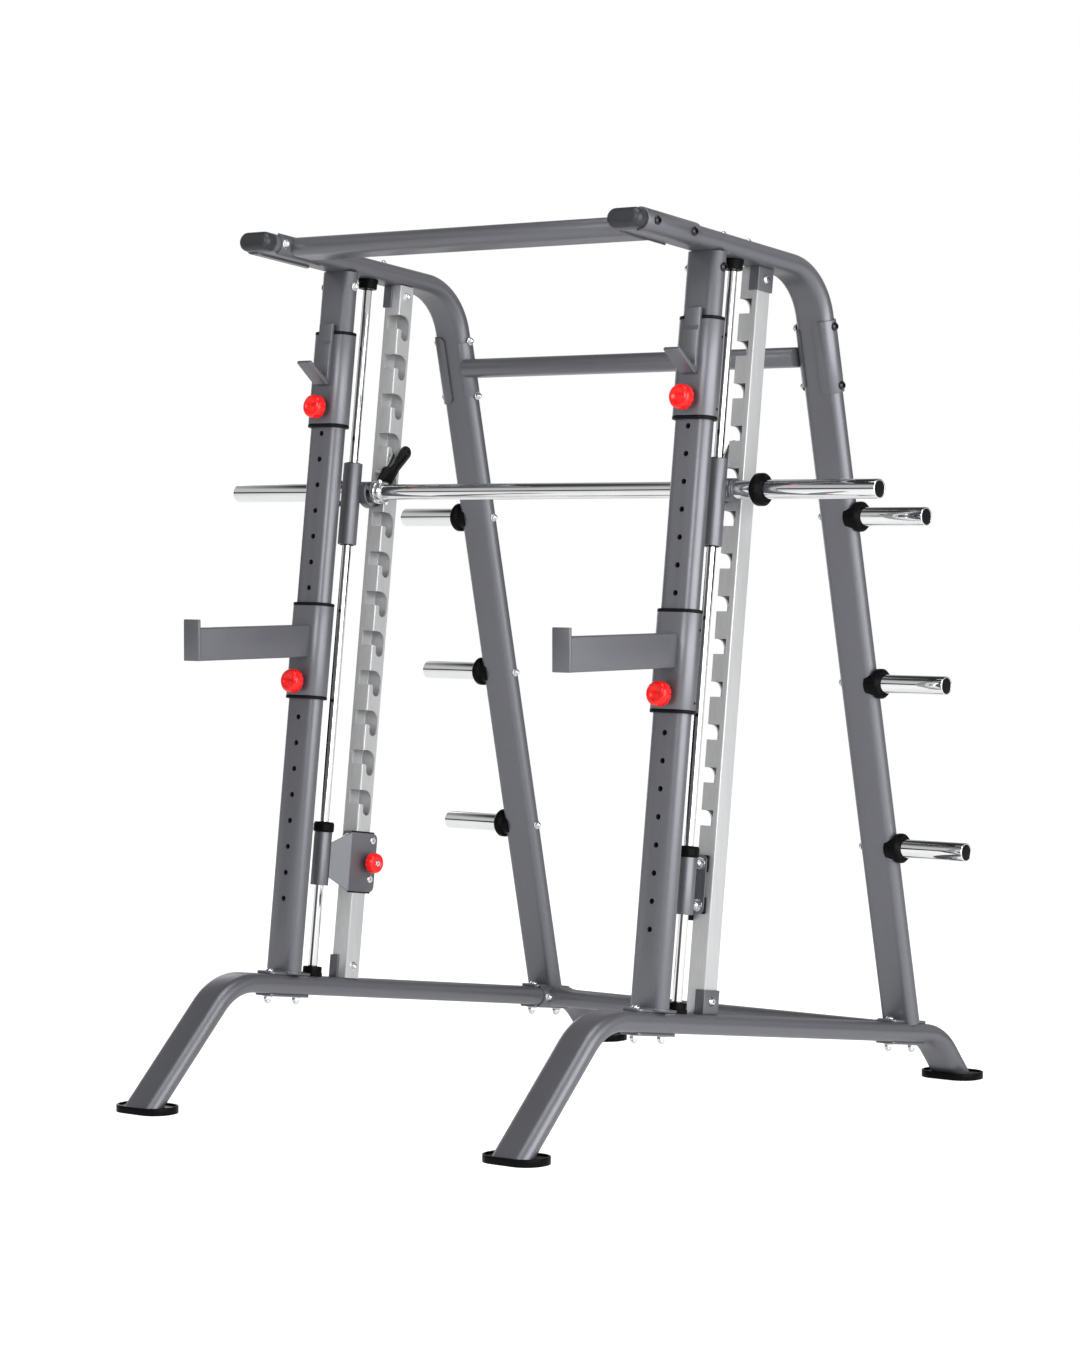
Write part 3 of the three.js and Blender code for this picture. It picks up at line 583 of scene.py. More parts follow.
def foot_pad(name, side, where, sign):
    """A moulded rubber foot: a shallow tray with a raised rim, which the leg stands in."""
    top, wall = PAD_HEIGHT + PAD_RIM, 5.5
    tray = prism(rounded_rectangle(PAD_WIDTH, PAD_DEPTH, PAD_CORNER, 12), 0, top, 1.5)
    inside = rounded_rectangle(PAD_WIDTH - 2 * wall, PAD_DEPTH - 2 * wall, 49, 12)
    hollow = prism(inside, PAD_HEIGHT - 1, top + 9, 0)
    place = shift((SIDE_X, sign * PAD_Y, 0))
    piece(f"rubber_foot_{where}_{name}", carve(tray, [hollow]), "frame", RUBBER,
          [f"foot_pad_{where}_{name}"], place, side)


def bolted_plate(low=GAP, high=8):
    """The plate that bolts a post or a leg to the base tube, between two heights."""
    return prism(rounded_rectangle(64, 160, 12), low, high, 1.2)


def upright(name, side):
    """The drilled front post with its foot plate, and the plates under the base tube."""
    post = moved(prism(oval(), 4, POST_TOP, 0.5), ON_POST)
    holes = []
    for k in range(HOLE_COUNT):
        at = (SIDE_X, -1, HOLE_TOP - k * HOLE_PITCH)
        holes.append(moved(prism(circle(HOLE_R, 32), 0, 30, 0), toward(at, (0, 1, 0))))
    # The cut walls of the holes take the second material, a near-black painted shade for the inside of the
    # holes.
    post = carve(post, holes, inside=1)
    weld = moved(prism(oval(116, 56), 6, 10.5, 2.0), ON_POST)
    parts = [post, moved(bolted_plate(), ON_POST), weld]
    for n in (TUBE_R, REAR_LEG_N):
        under = bolted_plate(-OVAL_DEPTH - 8, -OVAL_DEPTH - 0.2)
        parts.append(moved(under, shift((SIDE_X, n, 0))))
    piece(f"front_post_{name}", merged(*parts), "frame", [PAINT, HOLE_PAINTED_SHADE], [f"upright_{name}"], LEANING, side)


def top_tube(name, side):
    """The roof tube that bends down into the rear leg, with the leg's foot plate."""
    front = leaning(0, ARCH_FRONT, ARCH_U)
    foot = leaning(0, REAR_LEG_N, 4)
    corners = [(front.y, front.z), (ARCH.y, ARCH.z), (leg_y(foot.z - 3), foot.z - 3)]
    tube = moved(bent_tube(oval(), route(corners, steps=28)), shift((SIDE_X, 0, 0)))
    plate = moved(bolted_plate(), LEANING @ shift((SIDE_X, REAR_LEG_N, 0)))
    piece(f"arch_tube_{name}", merged(tube, plate), "frame", PAINT, [f"top_tube_{name}"], side=side)


def top_plug(name, side):
    """The moulded plug in the front end of the roof tube, with a rounded nose."""
    outline = oval(OVAL_WIDTH, OVAL_DEPTH, 16)
    rings = [[Vector((p.x, -0.3, p.y)) for p in outline]]
    nose = 16
    for k in range(9):
        turn = math.pi / 2 * k / 8
        reach = PLUG_LENGTH - nose * (1 - math.sin(turn))
        rings.append([Vector((p.x, -reach, p.y)) for p in inset(outline, nose * (1 - math.cos(turn)))])
    bm = moved(loft(rings), shift((SIDE_X, ARCH_FRONT, ARCH_U)))
    piece(f"tube_plug_{name}", bm, "frame", CAP, [f"top_cap_{name}"], LEANING, side)


def clamp_plate(length, edge_x, corner, out):
    """A bent plate that hugs one side of a side tube, standing along Z around x = 0.

    out is 1 for the side towards +x. The plate ends at edge_x, with rounded corners there.
    """
    shell = prism(oval(OVAL_WIDTH + 2 * CLAMP_SHEET, OVAL_DEPTH + 2 * CLAMP_SHEET),
                  -length / 2, length / 2, 1.0)
    core = prism(oval(OVAL_WIDTH + 0.6, OVAL_DEPTH + 0.6), -length, length, 0)
    half = length / 2
    waste = [(-200, -length), (edge_x + corner, -length)]
    for sign in (-1, 1):
        for k in range(9):
            turn = math.pi / 2 * (k if sign < 0 else 8 - k) / 8
            waste.append((edge_x + corner * (1 - math.sin(turn)),
                          sign * (half - corner * (1 - math.cos(turn)))))
    waste += [(edge_x + corner, length), (-200, length)]
    outline = [Vector(p) for p in waste]
    if out < 0:
        outline = [Vector((-p.x, p.y)) for p in reversed(outline)]
    away = moved(prism(outline, -100, 100, 0), Matrix.Rotation(math.pi / 2, 4, "X"))
    return carve(carve(shell, [core]), [away])


def crossbar(name, cad, place, turn, length, outside=True):
    """A cross tube with an inner clamp plate at each side tube, and an outer one if asked."""
    reach = SIDE_X - OVAL_WIDTH / 2 - 2
    parts = [moved(prism(oval(), -reach, reach, 0.6), SIDE_PLANE)]
    for sign in (-1, 1):
        here = shift((sign * SIDE_X, 0, 0)) @ Matrix.Rotation(turn, 4, "X")
        if outside:
            parts.append(moved(clamp_plate(length, 12, 20, sign), here))
        parts.append(moved(clamp_plate(0.8 * length, 36, 4, -sign), here))
    piece(name, merged(*parts), "frame", PAINT, [cad], place)


def crossbars():
    crossbar("front_cross_tube", "front_crossbar",
             LEANING @ shift((0, FRONT_CROSSBAR_N, ARCH_U)), math.pi / 2, 220)
    crossbar("rear_cross_tube", "rear_crossbar",
             shift((0, leg_y(REAR_CROSSBAR_Z), REAR_CROSSBAR_Z)), LEG_LEAN, 196)
    crossbar("low_cross_tube", "lower_crossbar",
             LEANING @ shift((0, LOWER_CROSSBAR_N, -TUBE_R)), math.pi / 2, 180, False)


# ---- rods, rails and brackets
def guide_rod(name, side):
    """The chrome rod with a rubber collar at each end."""
    rod = moved(turned([(GAP, 0), (GAP, ROD_R), (POST_TOP, ROD_R), (POST_TOP, 0)], 48), ON_ROD)
    piece(f"chrome_rod_{name}", rod, "frame", CHROME, [f"guide_rod_{name}"], LEANING, side)
    bore = ROD_R + 0.4
    profile = [(0, bore), (0, 28.5), (9, 28.5), (11, 26.5), (27, 26.5, 3), (27, bore)]
    for where, start, out in (("bottom", GAP, 1), ("top", POST_TOP, -1)):
        ring = ring_solid([(start + out * z, r, *rest) for z, r, *rest in profile])
        piece(f"rod_end_collar_{where}_{name}", moved(ring, ON_ROD), "frame", RUBBER,
              [f"rod_collar_{where}_{name}"], LEANING, side)


def slot_cutters(top):
    """The mouth through the rail's front wall and the channel and seat in its inner wall."""
    half = RAIL_SIZE / 2
    front, rear = RAIL_N - half, RAIL_N - half + SLOT_REACH
    inner, seat = RAIL_X - half, rear - SLOT_SEAT
    sill, seat_low = top - SLOT_MOUTH, top - SLOT_DROP
    mouth = block((inner - 10, front - 10, sill), (inner + 40, front + RAIL_WALL + 0.5, top), 0)
    outline = soften([(front - 10, top, 0), (rear, top, 27), (rear, seat_low, 15), (seat, seat_low, 15),
                      (seat, sill, 6), (front - 10, sill, 0)], 5, 10)
    channel = side_plate(outline, inner - 10, inner + RAIL_WALL + 0.5, 0)
    return [mouth, channel]


def latch_rail(name, side):
    """The slotted square tube that the hooks drop into."""
    outer = moved(prism(rounded_rectangle(RAIL_SIZE, RAIL_SIZE, 3.5), GAP, POST_TOP, 0.5), ON_RAIL)
    bore = RAIL_SIZE - 2 * RAIL_WALL
    core = moved(prism(rounded_rectangle(bore, bore, 2), -20, UPRIGHT_HEIGHT + 20, 0), ON_RAIL)
    rail = carve(outer, [core])
    slots = []
    for k in range(SLOT_COUNT):
        mouth, channel = slot_cutters(SLOT_TOP - k * SLOT_PITCH)
        rail = carve(rail, [mouth])
        slots.append(channel)
    rail = carve(rail, slots)
    piece(f"slotted_rail_{name}", rail, "frame", SILVER, [f"latch_rail_{name}"], LEANING, side)


def rail_bracket(name, side, where, low):
    """A channel bracket over the rail's outer face and part of its front and back."""
    half, sheet = RAIL_SIZE / 2 + GAP, 4
    high, outer = low + BRACKET_HEIGHT, RAIL_X + half
    front, rear = RAIL_N - half, RAIL_N + half
    shell = block((outer - 26, front - sheet, low), (outer + sheet, rear + sheet, high), 1.2)
    inside = block((RAIL_X - 200, front, low - 10), (outer, rear, high + 10), 0)
    piece(f"rail_clamp_{where}_{name}", carve(shell, [inside]), "frame", PAINT,
          [f"rail_bracket_{where}_{name}"], LEANING, side)


# ---- plate horns
def leg_core(z):
    """The rear leg's volume at a height, to fit a horn against it."""
    return moved(prism(oval(OVAL_WIDTH + 0.4, OVAL_DEPTH + 0.4), -100, 100, 0), leg_place(SIDE_X, z))


def plate_horn(name, side, where, z):
    """A chrome storage horn with a black insert, and a stepped rubber ring against the leg."""
    place = shift((0, leg_y(z), z)) @ ALONG_X
    tube = carve(moved(open_end(SIDE_X + 30, HORN_TIP, HORN_R), place), [leg_core(z)])
    piece(f"horn_tube_{where}_{name}", tube, "frame", CHROME, [f"plate_horn_{where}_{name}"], side=side)
    piece(f"horn_insert_{where}_{name}", end_insert(HORN_TIP, HORN_R), "frame", PLASTIC, place=place,
          side=side)
    low, high, bore = 676, 724, HORN_R + 0.3
    ring = ring_solid([(low, bore), (low, 33), (699, 33, 1), (701, 36, 1), (706, 41, 1.5), (718, 41, 1.5),
                       (high, 36, 1.5), (high, bore)], 56)
    piece(f"horn_stop_ring_{where}_{name}", carve(moved(ring, place), [leg_core(z)]), "frame", RUBBER,
          [f"horn_ring_{where}_{name}"], side=side)


def open_end(root, tip, radius):
    """A thick tube end: a solid round bar with a rolled rim and a shallow recess at its tip."""
    return turned([(root, 0), (root, radius), (tip, radius, 2.2), (tip, radius - 4, 0.8),
                   (tip - 3, radius - 4.2, 0.4), (tip - 3, 0)], 64)


def end_insert(tip, radius):
    """The round plug pressed into the recess."""
    back, edge, face = tip - 3.1, radius - 4.3, tip + 0.1
    return turned([(back, 0), (back, edge), (tip - 0.2, edge, 1.5), (face, 8, 4), (face, 0)], 48)


# ---- barbell, carriages, hooks, levers
def barbell():
    """The chrome bar: shaft, shoulders and sleeves, with black inserts and rubber rings."""
    shoulder = SLEEVE_R - 1.2
    half = [(0, SHAFT_R), (671.5, SHAFT_R), (671.5, shoulder, 2), (737, shoulder, 0.5),
            (738, SLEEVE_R, 0.5), (BAR_END, SLEEVE_R, 2.2),
            (BAR_END, SLEEVE_R - 4, 0.8), (BAR_END - 3, SLEEVE_R - 4.2, 0.4), (BAR_END - 3, 0)]
    profile = [(-x, *rest) for x, *rest in reversed(half[1:])] + half[1:]
    piece("chrome_bar", turned(profile, 64, 1.2), "barbell", CHROME, ["bar"], BAR_PLACE)
    for name, side in SIDES.items():
        piece(f"sleeve_insert_{name}", end_insert(BAR_END, SLEEVE_R), "barbell", PLASTIC, place=BAR_PLACE,
              side=side)
        low, high, bore, radius, slope = 736, 770, SLEEVE_R + 0.3, 43, 9
        ring = ring_solid([(low, bore), (low, radius - slope, 1), (low + slope, radius, 0.8),
                           (high - slope, radius, 0.8), (high, radius - slope, 1), (high, bore)], 56)
        piece(f"sleeve_ring_{name}", ring, "barbell", RUBBER, [f"bar_ring_{name}"], BAR_PLACE, side)


def bar_cup():
    """A bent strip under the bar, open at the top, between the housing and the hook."""
    angles = [math.radians(a) for a in range(160, 381, 10)]
    outer = [polar(45, a) for a in angles]
    inner = [polar(40, a) for a in reversed(angles)]
    return moved(side_plate(outer + inner, 594.5, 622, 0.8), shift((0, BAR_N, BAR_U)))


def carriage(name, side):
    """The slider tube on the rod, its block and the housing round the bar."""
    tube = bushing(SLIDER_LOW, SLIDER_HIGH, ROD_R + 0.6, SLIDER_R, 1.2)
    hub = bushing(-29, 29, SHAFT_R + 0.5, 30, 1.6)
    hub.transform(shift((ROD_X, BAR_N, BAR_U)) @ ALONG_X)
    web = block((ROD_X - 22, ROD_N + 18, BAR_U - 22), (ROD_X + 22, BAR_N - 24, BAR_U + 22), 2)
    steel = merged(moved(tube, ON_ROD), hub, web, bar_cup())
    piece(f"slider_{name}", steel, "carriages", PAINT, [f"carriage_{name}"], LEANING, side)
    for where, z, out in (("low", SLIDER_LOW, -1), ("high", SLIDER_HIGH, 1)):
        bore, inner, outer = ROD_R + 0.5, z - out * 1, z + out * 2.2
        seal = ring_solid([(inner, bore), (inner, 20), (outer, 20, 1.5), (outer, bore)], 48, 0.5)
        piece(f"slider_seal_{where}_{name}", moved(seal, ON_ROD), "carriages", PLASTIC, place=LEANING,
              side=side)


def arm_outline(angle, length, root, waist, waist_at, end):
    """An (n, u) outline of an arm that starts at the bar and ends in a round."""
    along = polar(1, math.radians(angle))
    across = Vector((-along.y, along.x))
    base = Vector((BAR_N, BAR_U))
    points = [base - across * root, base + along * waist_at - across * waist]
    tip = base + along * length
    for k in range(17):
        turn = -math.pi / 2 + math.pi * k / 16
        points.append(tip + (along * math.cos(turn) + across * math.sin(turn)) * end)
    points += [base + along * waist_at + across * waist, base + across * root]
    return [Vector(p) for p in points]


def off_bar(angle, reach):
    """A point in the side plane, out from the bar's axis at an angle from level."""
    away = polar(reach, math.radians(angle))
    return Vector((0, BAR_N + away.x, BAR_U + away.y))


def bored_arm(outline, span, edge):
    """A flat arm with a hole for the bar. Its span is from and to, along X."""
    hole = moved(prism(circle(SHAFT_R + 0.4, 56), 500, 640, 0), ON_BAR)
    return carve(side_plate(outline, *span, edge), [hole])


def latch_hook(name, side):
    """The hook arm and the hand lever with its flush screw."""
    hook = bored_arm(arm_outline(HOOK_ANGLE, HOOK_REACH, 20, 15, 45, 13), HOOK_SPAN, 1.5)
    lever = bored_arm(arm_outline(LEVER_ANGLE, LEVER_REACH, 27, 14, 100, 19), LEVER_SPAN, 4.5)
    screw = turned([(571.4, 0), (571.4, 5.5, 1), (573.6, 7), (588.5, 7, 1), (588.5, 0)], 32, 0.6)
    screw.transform(shift(off_bar(LEVER_ANGLE, LEVER_REACH)) @ ALONG_X)
    piece(f"hook_and_lever_{name}", merged(screw, hook, lever), "barbell", LEVER, [f"latch_hook_{name}"],
          LEANING, side)


def clamp_steelwork(name, side):
    """The bright hub and clamp ring on the bar, the ring's nuts, the hook's pin and a thin link."""
    bore = SHAFT_R + 0.4
    hub = bushing(573.7, 590, bore, 33, 1.5)
    clamp = ring_solid([(556, bore), (556, 29), (562, 31, 1), (570, 31, 1), (573.6, 29), (573.6, bore)],
                       56, 0.8)
    parts = [moved(hub, ON_BAR), moved(clamp, ON_BAR)]
    for angle in (-60, 120):
        out = Vector((0, *polar(1, math.radians(angle))))
        parts.append(moved(dome_nut(6, 6), toward(Vector((565, BAR_N, BAR_U)) + out * 30.5, out)))
    pin = turned([(588, 0), (588, 5), (619, 5, 1), (619, 0)], 32)
    parts.append(moved(pin, shift(off_bar(HOOK_ANGLE, HOOK_REACH)) @ ALONG_X))
    parts.append(bored_arm(arm_outline(62.6, 126, 9, 4.5, 60, 8), (591.2, 593.2), 0.5))
    piece(f"hook_pin_{name}", merged(*parts), "barbell", ZINC, place=LEANING, side=side)


# ---- sliding collars
def collar_shell(middle):
    """The sleeve round the upright, centred at a height."""
    low, high = middle - COLLAR_HEIGHT / 2, middle + COLLAR_HEIGHT / 2
    shell = moved(prism(oval(COLLAR_WIDTH, COLLAR_DEPTH), low + LINER, high - LINER, 1.2), ON_POST)
    inside = oval(COLLAR_WIDTH - 2 * COLLAR_WALL, COLLAR_DEPTH - 2 * COLLAR_WALL)
    return carve(shell, [moved(prism(inside, low - 20, high + 20, 0), ON_POST)])


def collar_liners(name, side, body, middle):
    """The black plastic liner, which shows as a thin flange at each end, and the set screws."""
    low, high = middle - COLLAR_HEIGHT / 2, middle + COLLAR_HEIGHT / 2
    parts = []
    for start, end in ((low, low + LINER), (high - LINER, high)):
        rim = moved(prism(oval(COLLAR_WIDTH + 1, COLLAR_DEPTH + 1), start, end, 2), ON_POST)
        core = prism(oval(OVAL_WIDTH + 1.5, OVAL_DEPTH + 1.5), start - 20, end + 20, 0)
        parts.append(carve(rim, [moved(core, ON_POST)]))
    for u in (low + 28, high - 52):
        at = (SIDE_X + COLLAR_WIDTH / 2 - 0.4, TUBE_R + 6, u)
        parts.append(moved(set_screw(), toward(at, (1, 0.15, 0))))
    piece(f"{body[:-len(name) - 1]}_liner_{name}", merged(*parts), body, PLASTIC, place=LEANING, side=side)


def hook_collar(name, side):
    """The bar hook: a sleeve with a standing strip that bends forward into an upward lip."""
    body = f"hook_collar_{name}"
    slope, thick, top, heel, length = math.radians(31), 9, 1813, 1655, 82
    back, upper = COLLAR_FRONT + 1, COLLAR_FRONT - thick
    face = upper - 4
    along = Vector((-math.cos(slope), math.sin(slope)))
    tip = Vector((face, heel)) + along * length
    under = tip + Vector((-along.y, along.x)) * thick
    outline = soften([(back, top, 2), (upper, top, 3), (upper, 1764, 6), (face, 1752, 6), (face, heel, 6),
                      (tip.x, tip.y, 3), (under.x, under.y, 3), (face + 3, heel - 17, 14),
                      (back, heel - 8, 6)], 2, 8)
    strip = side_plate(outline, SIDE_X - 24.5, SIDE_X + 24.5, 1.2)
    piece(f"bar_hook_{name}", merged(collar_shell(HOOK_COLLAR_U), strip), body, PAINT, [body], LEANING,
          side)
    collar_liners(name, side, body, HOOK_COLLAR_U)


def arm_collar(name, side):
    """The safety arm: a sleeve with a level rectangular tube and a raised end plate."""
    body = f"arm_collar_{name}"
    back = leaning(0, COLLAR_FRONT + 2, ARM_COLLAR_U).y
    arm = block((SIDE_X - 25, ARM_TIP, ARM_LOW), (SIDE_X + 25, back + 20, ARM_TOP), 4)
    behind = moved(block((SIDE_X - 100, COLLAR_FRONT + 3, 200), (SIDE_X + 100, 400, 1800), 0), LEANING)
    arm = carve(arm, [behind])
    end = block((SIDE_X - 29, ARM_TIP - 7.5, ARM_LOW), (SIDE_X + 29, ARM_TIP + 0.5, ARM_TOP + 23), 2)
    shell = moved(collar_shell(ARM_COLLAR_U), LEANING)
    piece(f"safety_arm_{name}", merged(shell, arm, end), body, PAINT, [body], side=side)
    collar_liners(name, side, body, ARM_COLLAR_U)


def fluted(radius, lobes, depth, steps=96):
    """A round outline with shallow finger grooves."""
    out = []
    for k in range(steps):
        angle = 2 * math.pi * k / steps
        wave = max(0.0, math.cos(angle * lobes)) ** 3
        out.append(polar(radius - depth * wave, angle))
    return out


def knob_grip(neck, radius, length):
    """The fluted grip with its domed, dished face. Each station is (height, scale, flute depth)."""
    stations = ((0, 0.84, 0.5), (1.5, 0.94, 1), (4, 1, 1), (0.40 * length, 1, 1),
                (0.48 * length, 0.995, 0.5), (0.54 * length, 0.985, 0.1), (0.62 * length, 0.975, 0),
                (length - 7, 0.955, 0), (length - 4, 0.915, 0), (length - 1.6, 0.83, 0),
                (length - 0.2, 0.70, 0), (length, 0.60, 0), (length, 0.54, 0), (length - 1.2, 0.50, 0),
                (length - 1.2, 0.05, 0))
    rings = []
    for z, scale, flute in stations:
        outline = fluted(radius, 12, 2.2 * flute)
        rings.append([Vector((p.x * scale, p.y * scale, neck + z)) for p in outline])
    return loft(rings)


def red_knob(name, side, node, place, neck_r, neck, radius, length, insert=False):
    """A red knob on a black neck. A metal insert closes its face if asked."""
    stem = node[:-len(name) - 1]
    grip = moved(knob_grip(neck, radius, length), place)
    piece(f"{stem}_grip_{name}", grip, node, RED, [node], LEANING, side, 50)
    collar = turned([(GAP, 0), (GAP, neck_r + 2), (3, neck_r + 2, 1), (3, neck_r), (neck + 3, neck_r),
                     (neck + 3, 0)], 40)
    piece(f"{stem}_neck_{name}", moved(collar, place), node, PLASTIC, place=LEANING, side=side)
    if insert:
        top = neck + length
        low, high = top - 2.5, top + 0.8
        disc = ring_solid([(low, 2.6), (low, 8), (high, 8, 0.8), (high, 2.6, 0.6)], 40)
        piece(f"{stem}_insert_{name}", moved(disc, place), node, ZINC, place=LEANING, side=side)


def knobs(name, side):
    """The two front knobs of the collars and the smaller side knob of the stop."""
    for node, u in ((f"hook_knob_{name}", HOOK_KNOB_U), (f"arm_knob_{name}", ARM_KNOB_U)):
        red_knob(name, side, node, toward((SIDE_X, COLLAR_FRONT, u), (0, -1, 0)), 11, 14, 33, 32)
    red_knob(name, side, f"stop_knob_{name}", toward((STOP_X, 280, 327), (-1, 0, 0)), 9, 12, 29, 26, True)


# ---- lower stops
def stop_side_plate():
    """The bent plate from the sleeve to the rail's inner face, tapered and rounded in side view."""
    near = ROD_N + 8
    plan = soften([(STOP_X + 26.5, near, 0), (STOP_X + 4, 207, 8), (STOP_X + 4, STOP_REAR, 0),
                   (STOP_X, STOP_REAR, 0), (STOP_X, 206, 12), (STOP_X + 22.5, near, 0)], 0, 6)
    plate = prism(list(reversed(plan)), STOP_LOW, STOP_TOP, 0.8)
    face = soften([(ROD_N - 40, 276, 0), (ROD_N + 12, 276, 6), (207, STOP_LOW, 6),
                   (STOP_REAR, STOP_LOW, 18), (STOP_REAR, STOP_TOP, 18), (207, STOP_TOP, 6),
                   (ROD_N + 12, 376, 6), (ROD_N - 40, 376, 0)], 0, 8)
    outside = side_plate(rounded_rectangle(900, 900, 1), 500, 700, 0)
    outside.transform(shift((0, 200, 320)))
    return carve(plate, [carve(outside, [side_plate(face, 490, 710, 0)])])


def stop_guide(name, side):
    """The stop's plastic glide along the rail, the guide behind it and the two front shoes."""
    inner = 597.3
    glide = block((inner, 210, 240), (inner + 3.4, 302, 413), 1)
    guide = block((inner, RAIL_N + RAIL_SIZE / 2 + 1, 262), (636, 305, 391), 3)
    shoes = [block((inner, 223.8, u - 22), (644, 231.4, u + 22), 3) for u in STOP_BOLT_LEVELS]
    piece(f"stop_guide_{name}", merged(glide, guide, *shoes), f"stop_{name}", PLASTIC, place=LEANING,
          side=side)


def stop(name, side):
    """The lower stop: a sleeve on the rod, with a bent plate and a front plate round the rail."""
    body = f"stop_{name}"
    sleeve = bushing(254, 402.7, ROD_R + 0.6, 25, 1.2)
    front = prism(rounded_rectangle(46, 154, 14), -223.5, -219.5, 0.8)
    front.transform(Matrix.Rotation(math.pi / 2, 4, "X"))
    front.transform(shift((619, 0, 335)))
    steel = merged(moved(sleeve, ON_ROD), stop_side_plate(), front)
    piece(f"stop_bracket_{name}", steel, body, PAINT, [body], LEANING, side)
    stop_guide(name, side)
    bore = ROD_R + 0.5
    bumper = ring_solid([(403, bore), (403, 27), (407, 29, 1), (425, 29, 3), (431, 26, 2), (431, bore)], 56)
    piece(f"stop_cushion_{name}", moved(bumper, ON_ROD), body, RUBBER, [f"stop_bumper_{name}"], LEANING,
          side)
    items = []
    for u in STOP_BOLT_LEVELS:
        items.append((flat_head, (STOP_X, 292, u), (-1, 0, 0)))
        items.append((stop_nut, (622, 219.5, u), (0, -1, 0)))
    fasteners(f"stop_bolts_{name}", side, body, ZINC, items, LEANING)


# ---- frame fasteners
POST_BOLT_U, RAIL_BOLT_LEVELS = 1921, (34, 1931)
ROOF_BOLT_PLACES = (88, 197.5)
ROOF_CLAMP_BOLT, LOW_CLAMP_BOLT, FOOT_PLATE_BOLT = 77, 58, 57
LEG_BOLT_HEIGHTS = (2093, 1937)


def frame_fasteners(name, side):
    """Bolts and nuts of one side frame, in the leaning frame and on the rear leg."""
    outer, inner = SIDE_X + OVAL_WIDTH / 2, SIDE_X - OVAL_WIDTH / 2
    black, zinc = [], []
    for n in (FRONT_CROSSBAR_N - ROOF_CLAMP_BOLT, FRONT_CROSSBAR_N + ROOF_CLAMP_BOLT):
        black.append((button_head, (outer + CLAMP_SHEET, n, ARCH_U), (1, 0, 0)))
        zinc.append((dome_nut, (inner - CLAMP_SHEET, n, ARCH_U), (-1, 0, 0)))
    black.append((button_head, (outer, TUBE_R, POST_BOLT_U), (1, 0, 0)))
    zinc.append((dome_nut, (inner, TUBE_R, POST_BOLT_U), (-1, 0, 0)))
    for n in ROOF_BOLT_PLACES:
        zinc.append((dome_nut, (SIDE_X, n, UPRIGHT_HEIGHT + OVAL_DEPTH), (0, 0, 1)))
    for middle in (TUBE_R, REAR_LEG_N):
        for n in (middle - FOOT_PLATE_BOLT, middle + FOOT_PLATE_BOLT):
            zinc.append((button_head, (SIDE_X, n, 8), (0, 0, 1)))
            zinc.append((big_nut, (SIDE_X, n, -OVAL_DEPTH - 8), (0, 0, -1)))
    for u in RAIL_BOLT_LEVELS:
        zinc.append((button_head, (RAIL_X + 32.3, RAIL_N, u), (1, 0, 0)))
        zinc.append((dome_nut, (RAIL_X - 28, RAIL_N, u), (-1, 0, 0)))
    for n in (LOWER_CROSSBAR_N - LOW_CLAMP_BOLT, LOWER_CROSSBAR_N + LOW_CLAMP_BOLT):
        zinc.append((dome_nut, (inner - CLAMP_SHEET, n, -TUBE_R), (-1, 0, 0)))
    fasteners(f"frame_bolts_black_{name}", side, "frame", BLACK_BOLT, black, LEANING)
    fasteners(f"frame_bolts_zinc_{name}", side, "frame", ZINC, zinc, LEANING)
    black, zinc = [], []
    for z in LEG_BOLT_HEIGHTS:
        black.append((button_head, (outer + CLAMP_SHEET, leg_y(z), z), (1, 0, 0)))
        zinc.append((dome_nut, (inner - CLAMP_SHEET, leg_y(z), z), (-1, 0, 0)))
    for z in HORN_HEIGHTS.values():
        zinc.append((dome_nut, (inner, leg_y(z), z), (-1, 0, 0)))
    fasteners(f"leg_bolts_black_{name}", side, "frame", BLACK_BOLT, black)
    fasteners(f"leg_bolts_zinc_{name}", side, "frame", ZINC, zinc)


# ---- assembly
for side_name, sign in SIDES.items():
    base_tube(side_name, sign)
    foot_pad(side_name, sign, "front", -1)
    foot_pad(side_name, sign, "rear", 1)
    upright(side_name, sign)
    top_tube(side_name, sign)
    top_plug(side_name, sign)
    guide_rod(side_name, sign)
    latch_rail(side_name, sign)
    rail_bracket(side_name, sign, "bottom", GAP)
    rail_bracket(side_name, sign, "top", POST_TOP - BRACKET_HEIGHT)
    for level, height in HORN_HEIGHTS.items():
        plate_horn(side_name, sign, level, height)
    carriage(side_name, sign)
    latch_hook(side_name, sign)
    clamp_steelwork(side_name, sign)
    hook_collar(side_name, sign)
    arm_collar(side_name, sign)
    knobs(side_name, sign)
    stop(side_name, sign)
    frame_fasteners(side_name, sign)
crossbars()
barbell()


# ---- studio
def studio_material():
    """White paper, which looks lit from within but throws little light back on the object."""
    s = Shader("studio_paper", (0.45, 0.45, 0.45), 0.9, 0.0, Specular_IOR_Level=0.1,
               Emission_Color=(1, 1, 1, 1))
    s.vary_color(s.noise(2, 2), 0.01)
    seen = s.node("ShaderNodeLightPath")
    glow = s.node("ShaderNodeMapRange")
    glow.inputs["To Min"].default_value = 0.62
    glow.inputs["To Max"].default_value = 0.90
    s.link(seen.outputs["Is Camera Ray"], glow.inputs["Value"])
    s.link(glow.outputs["Result"], s.main.inputs["Emission Strength"])
    return s.material


def floor():
    mesh = bpy.data.meshes.new("studio_floor")
    size = 60
    corners = [(-size, -size, 0), (size, -size, 0), (size, size, 0), (-size, size, 0)]
    mesh.from_pydata(corners, [], [(0, 1, 2, 3)])
    obj = bpy.data.objects.new("studio_floor", mesh)
    mesh.materials.append(studio_material())
    add_to_scene(obj)


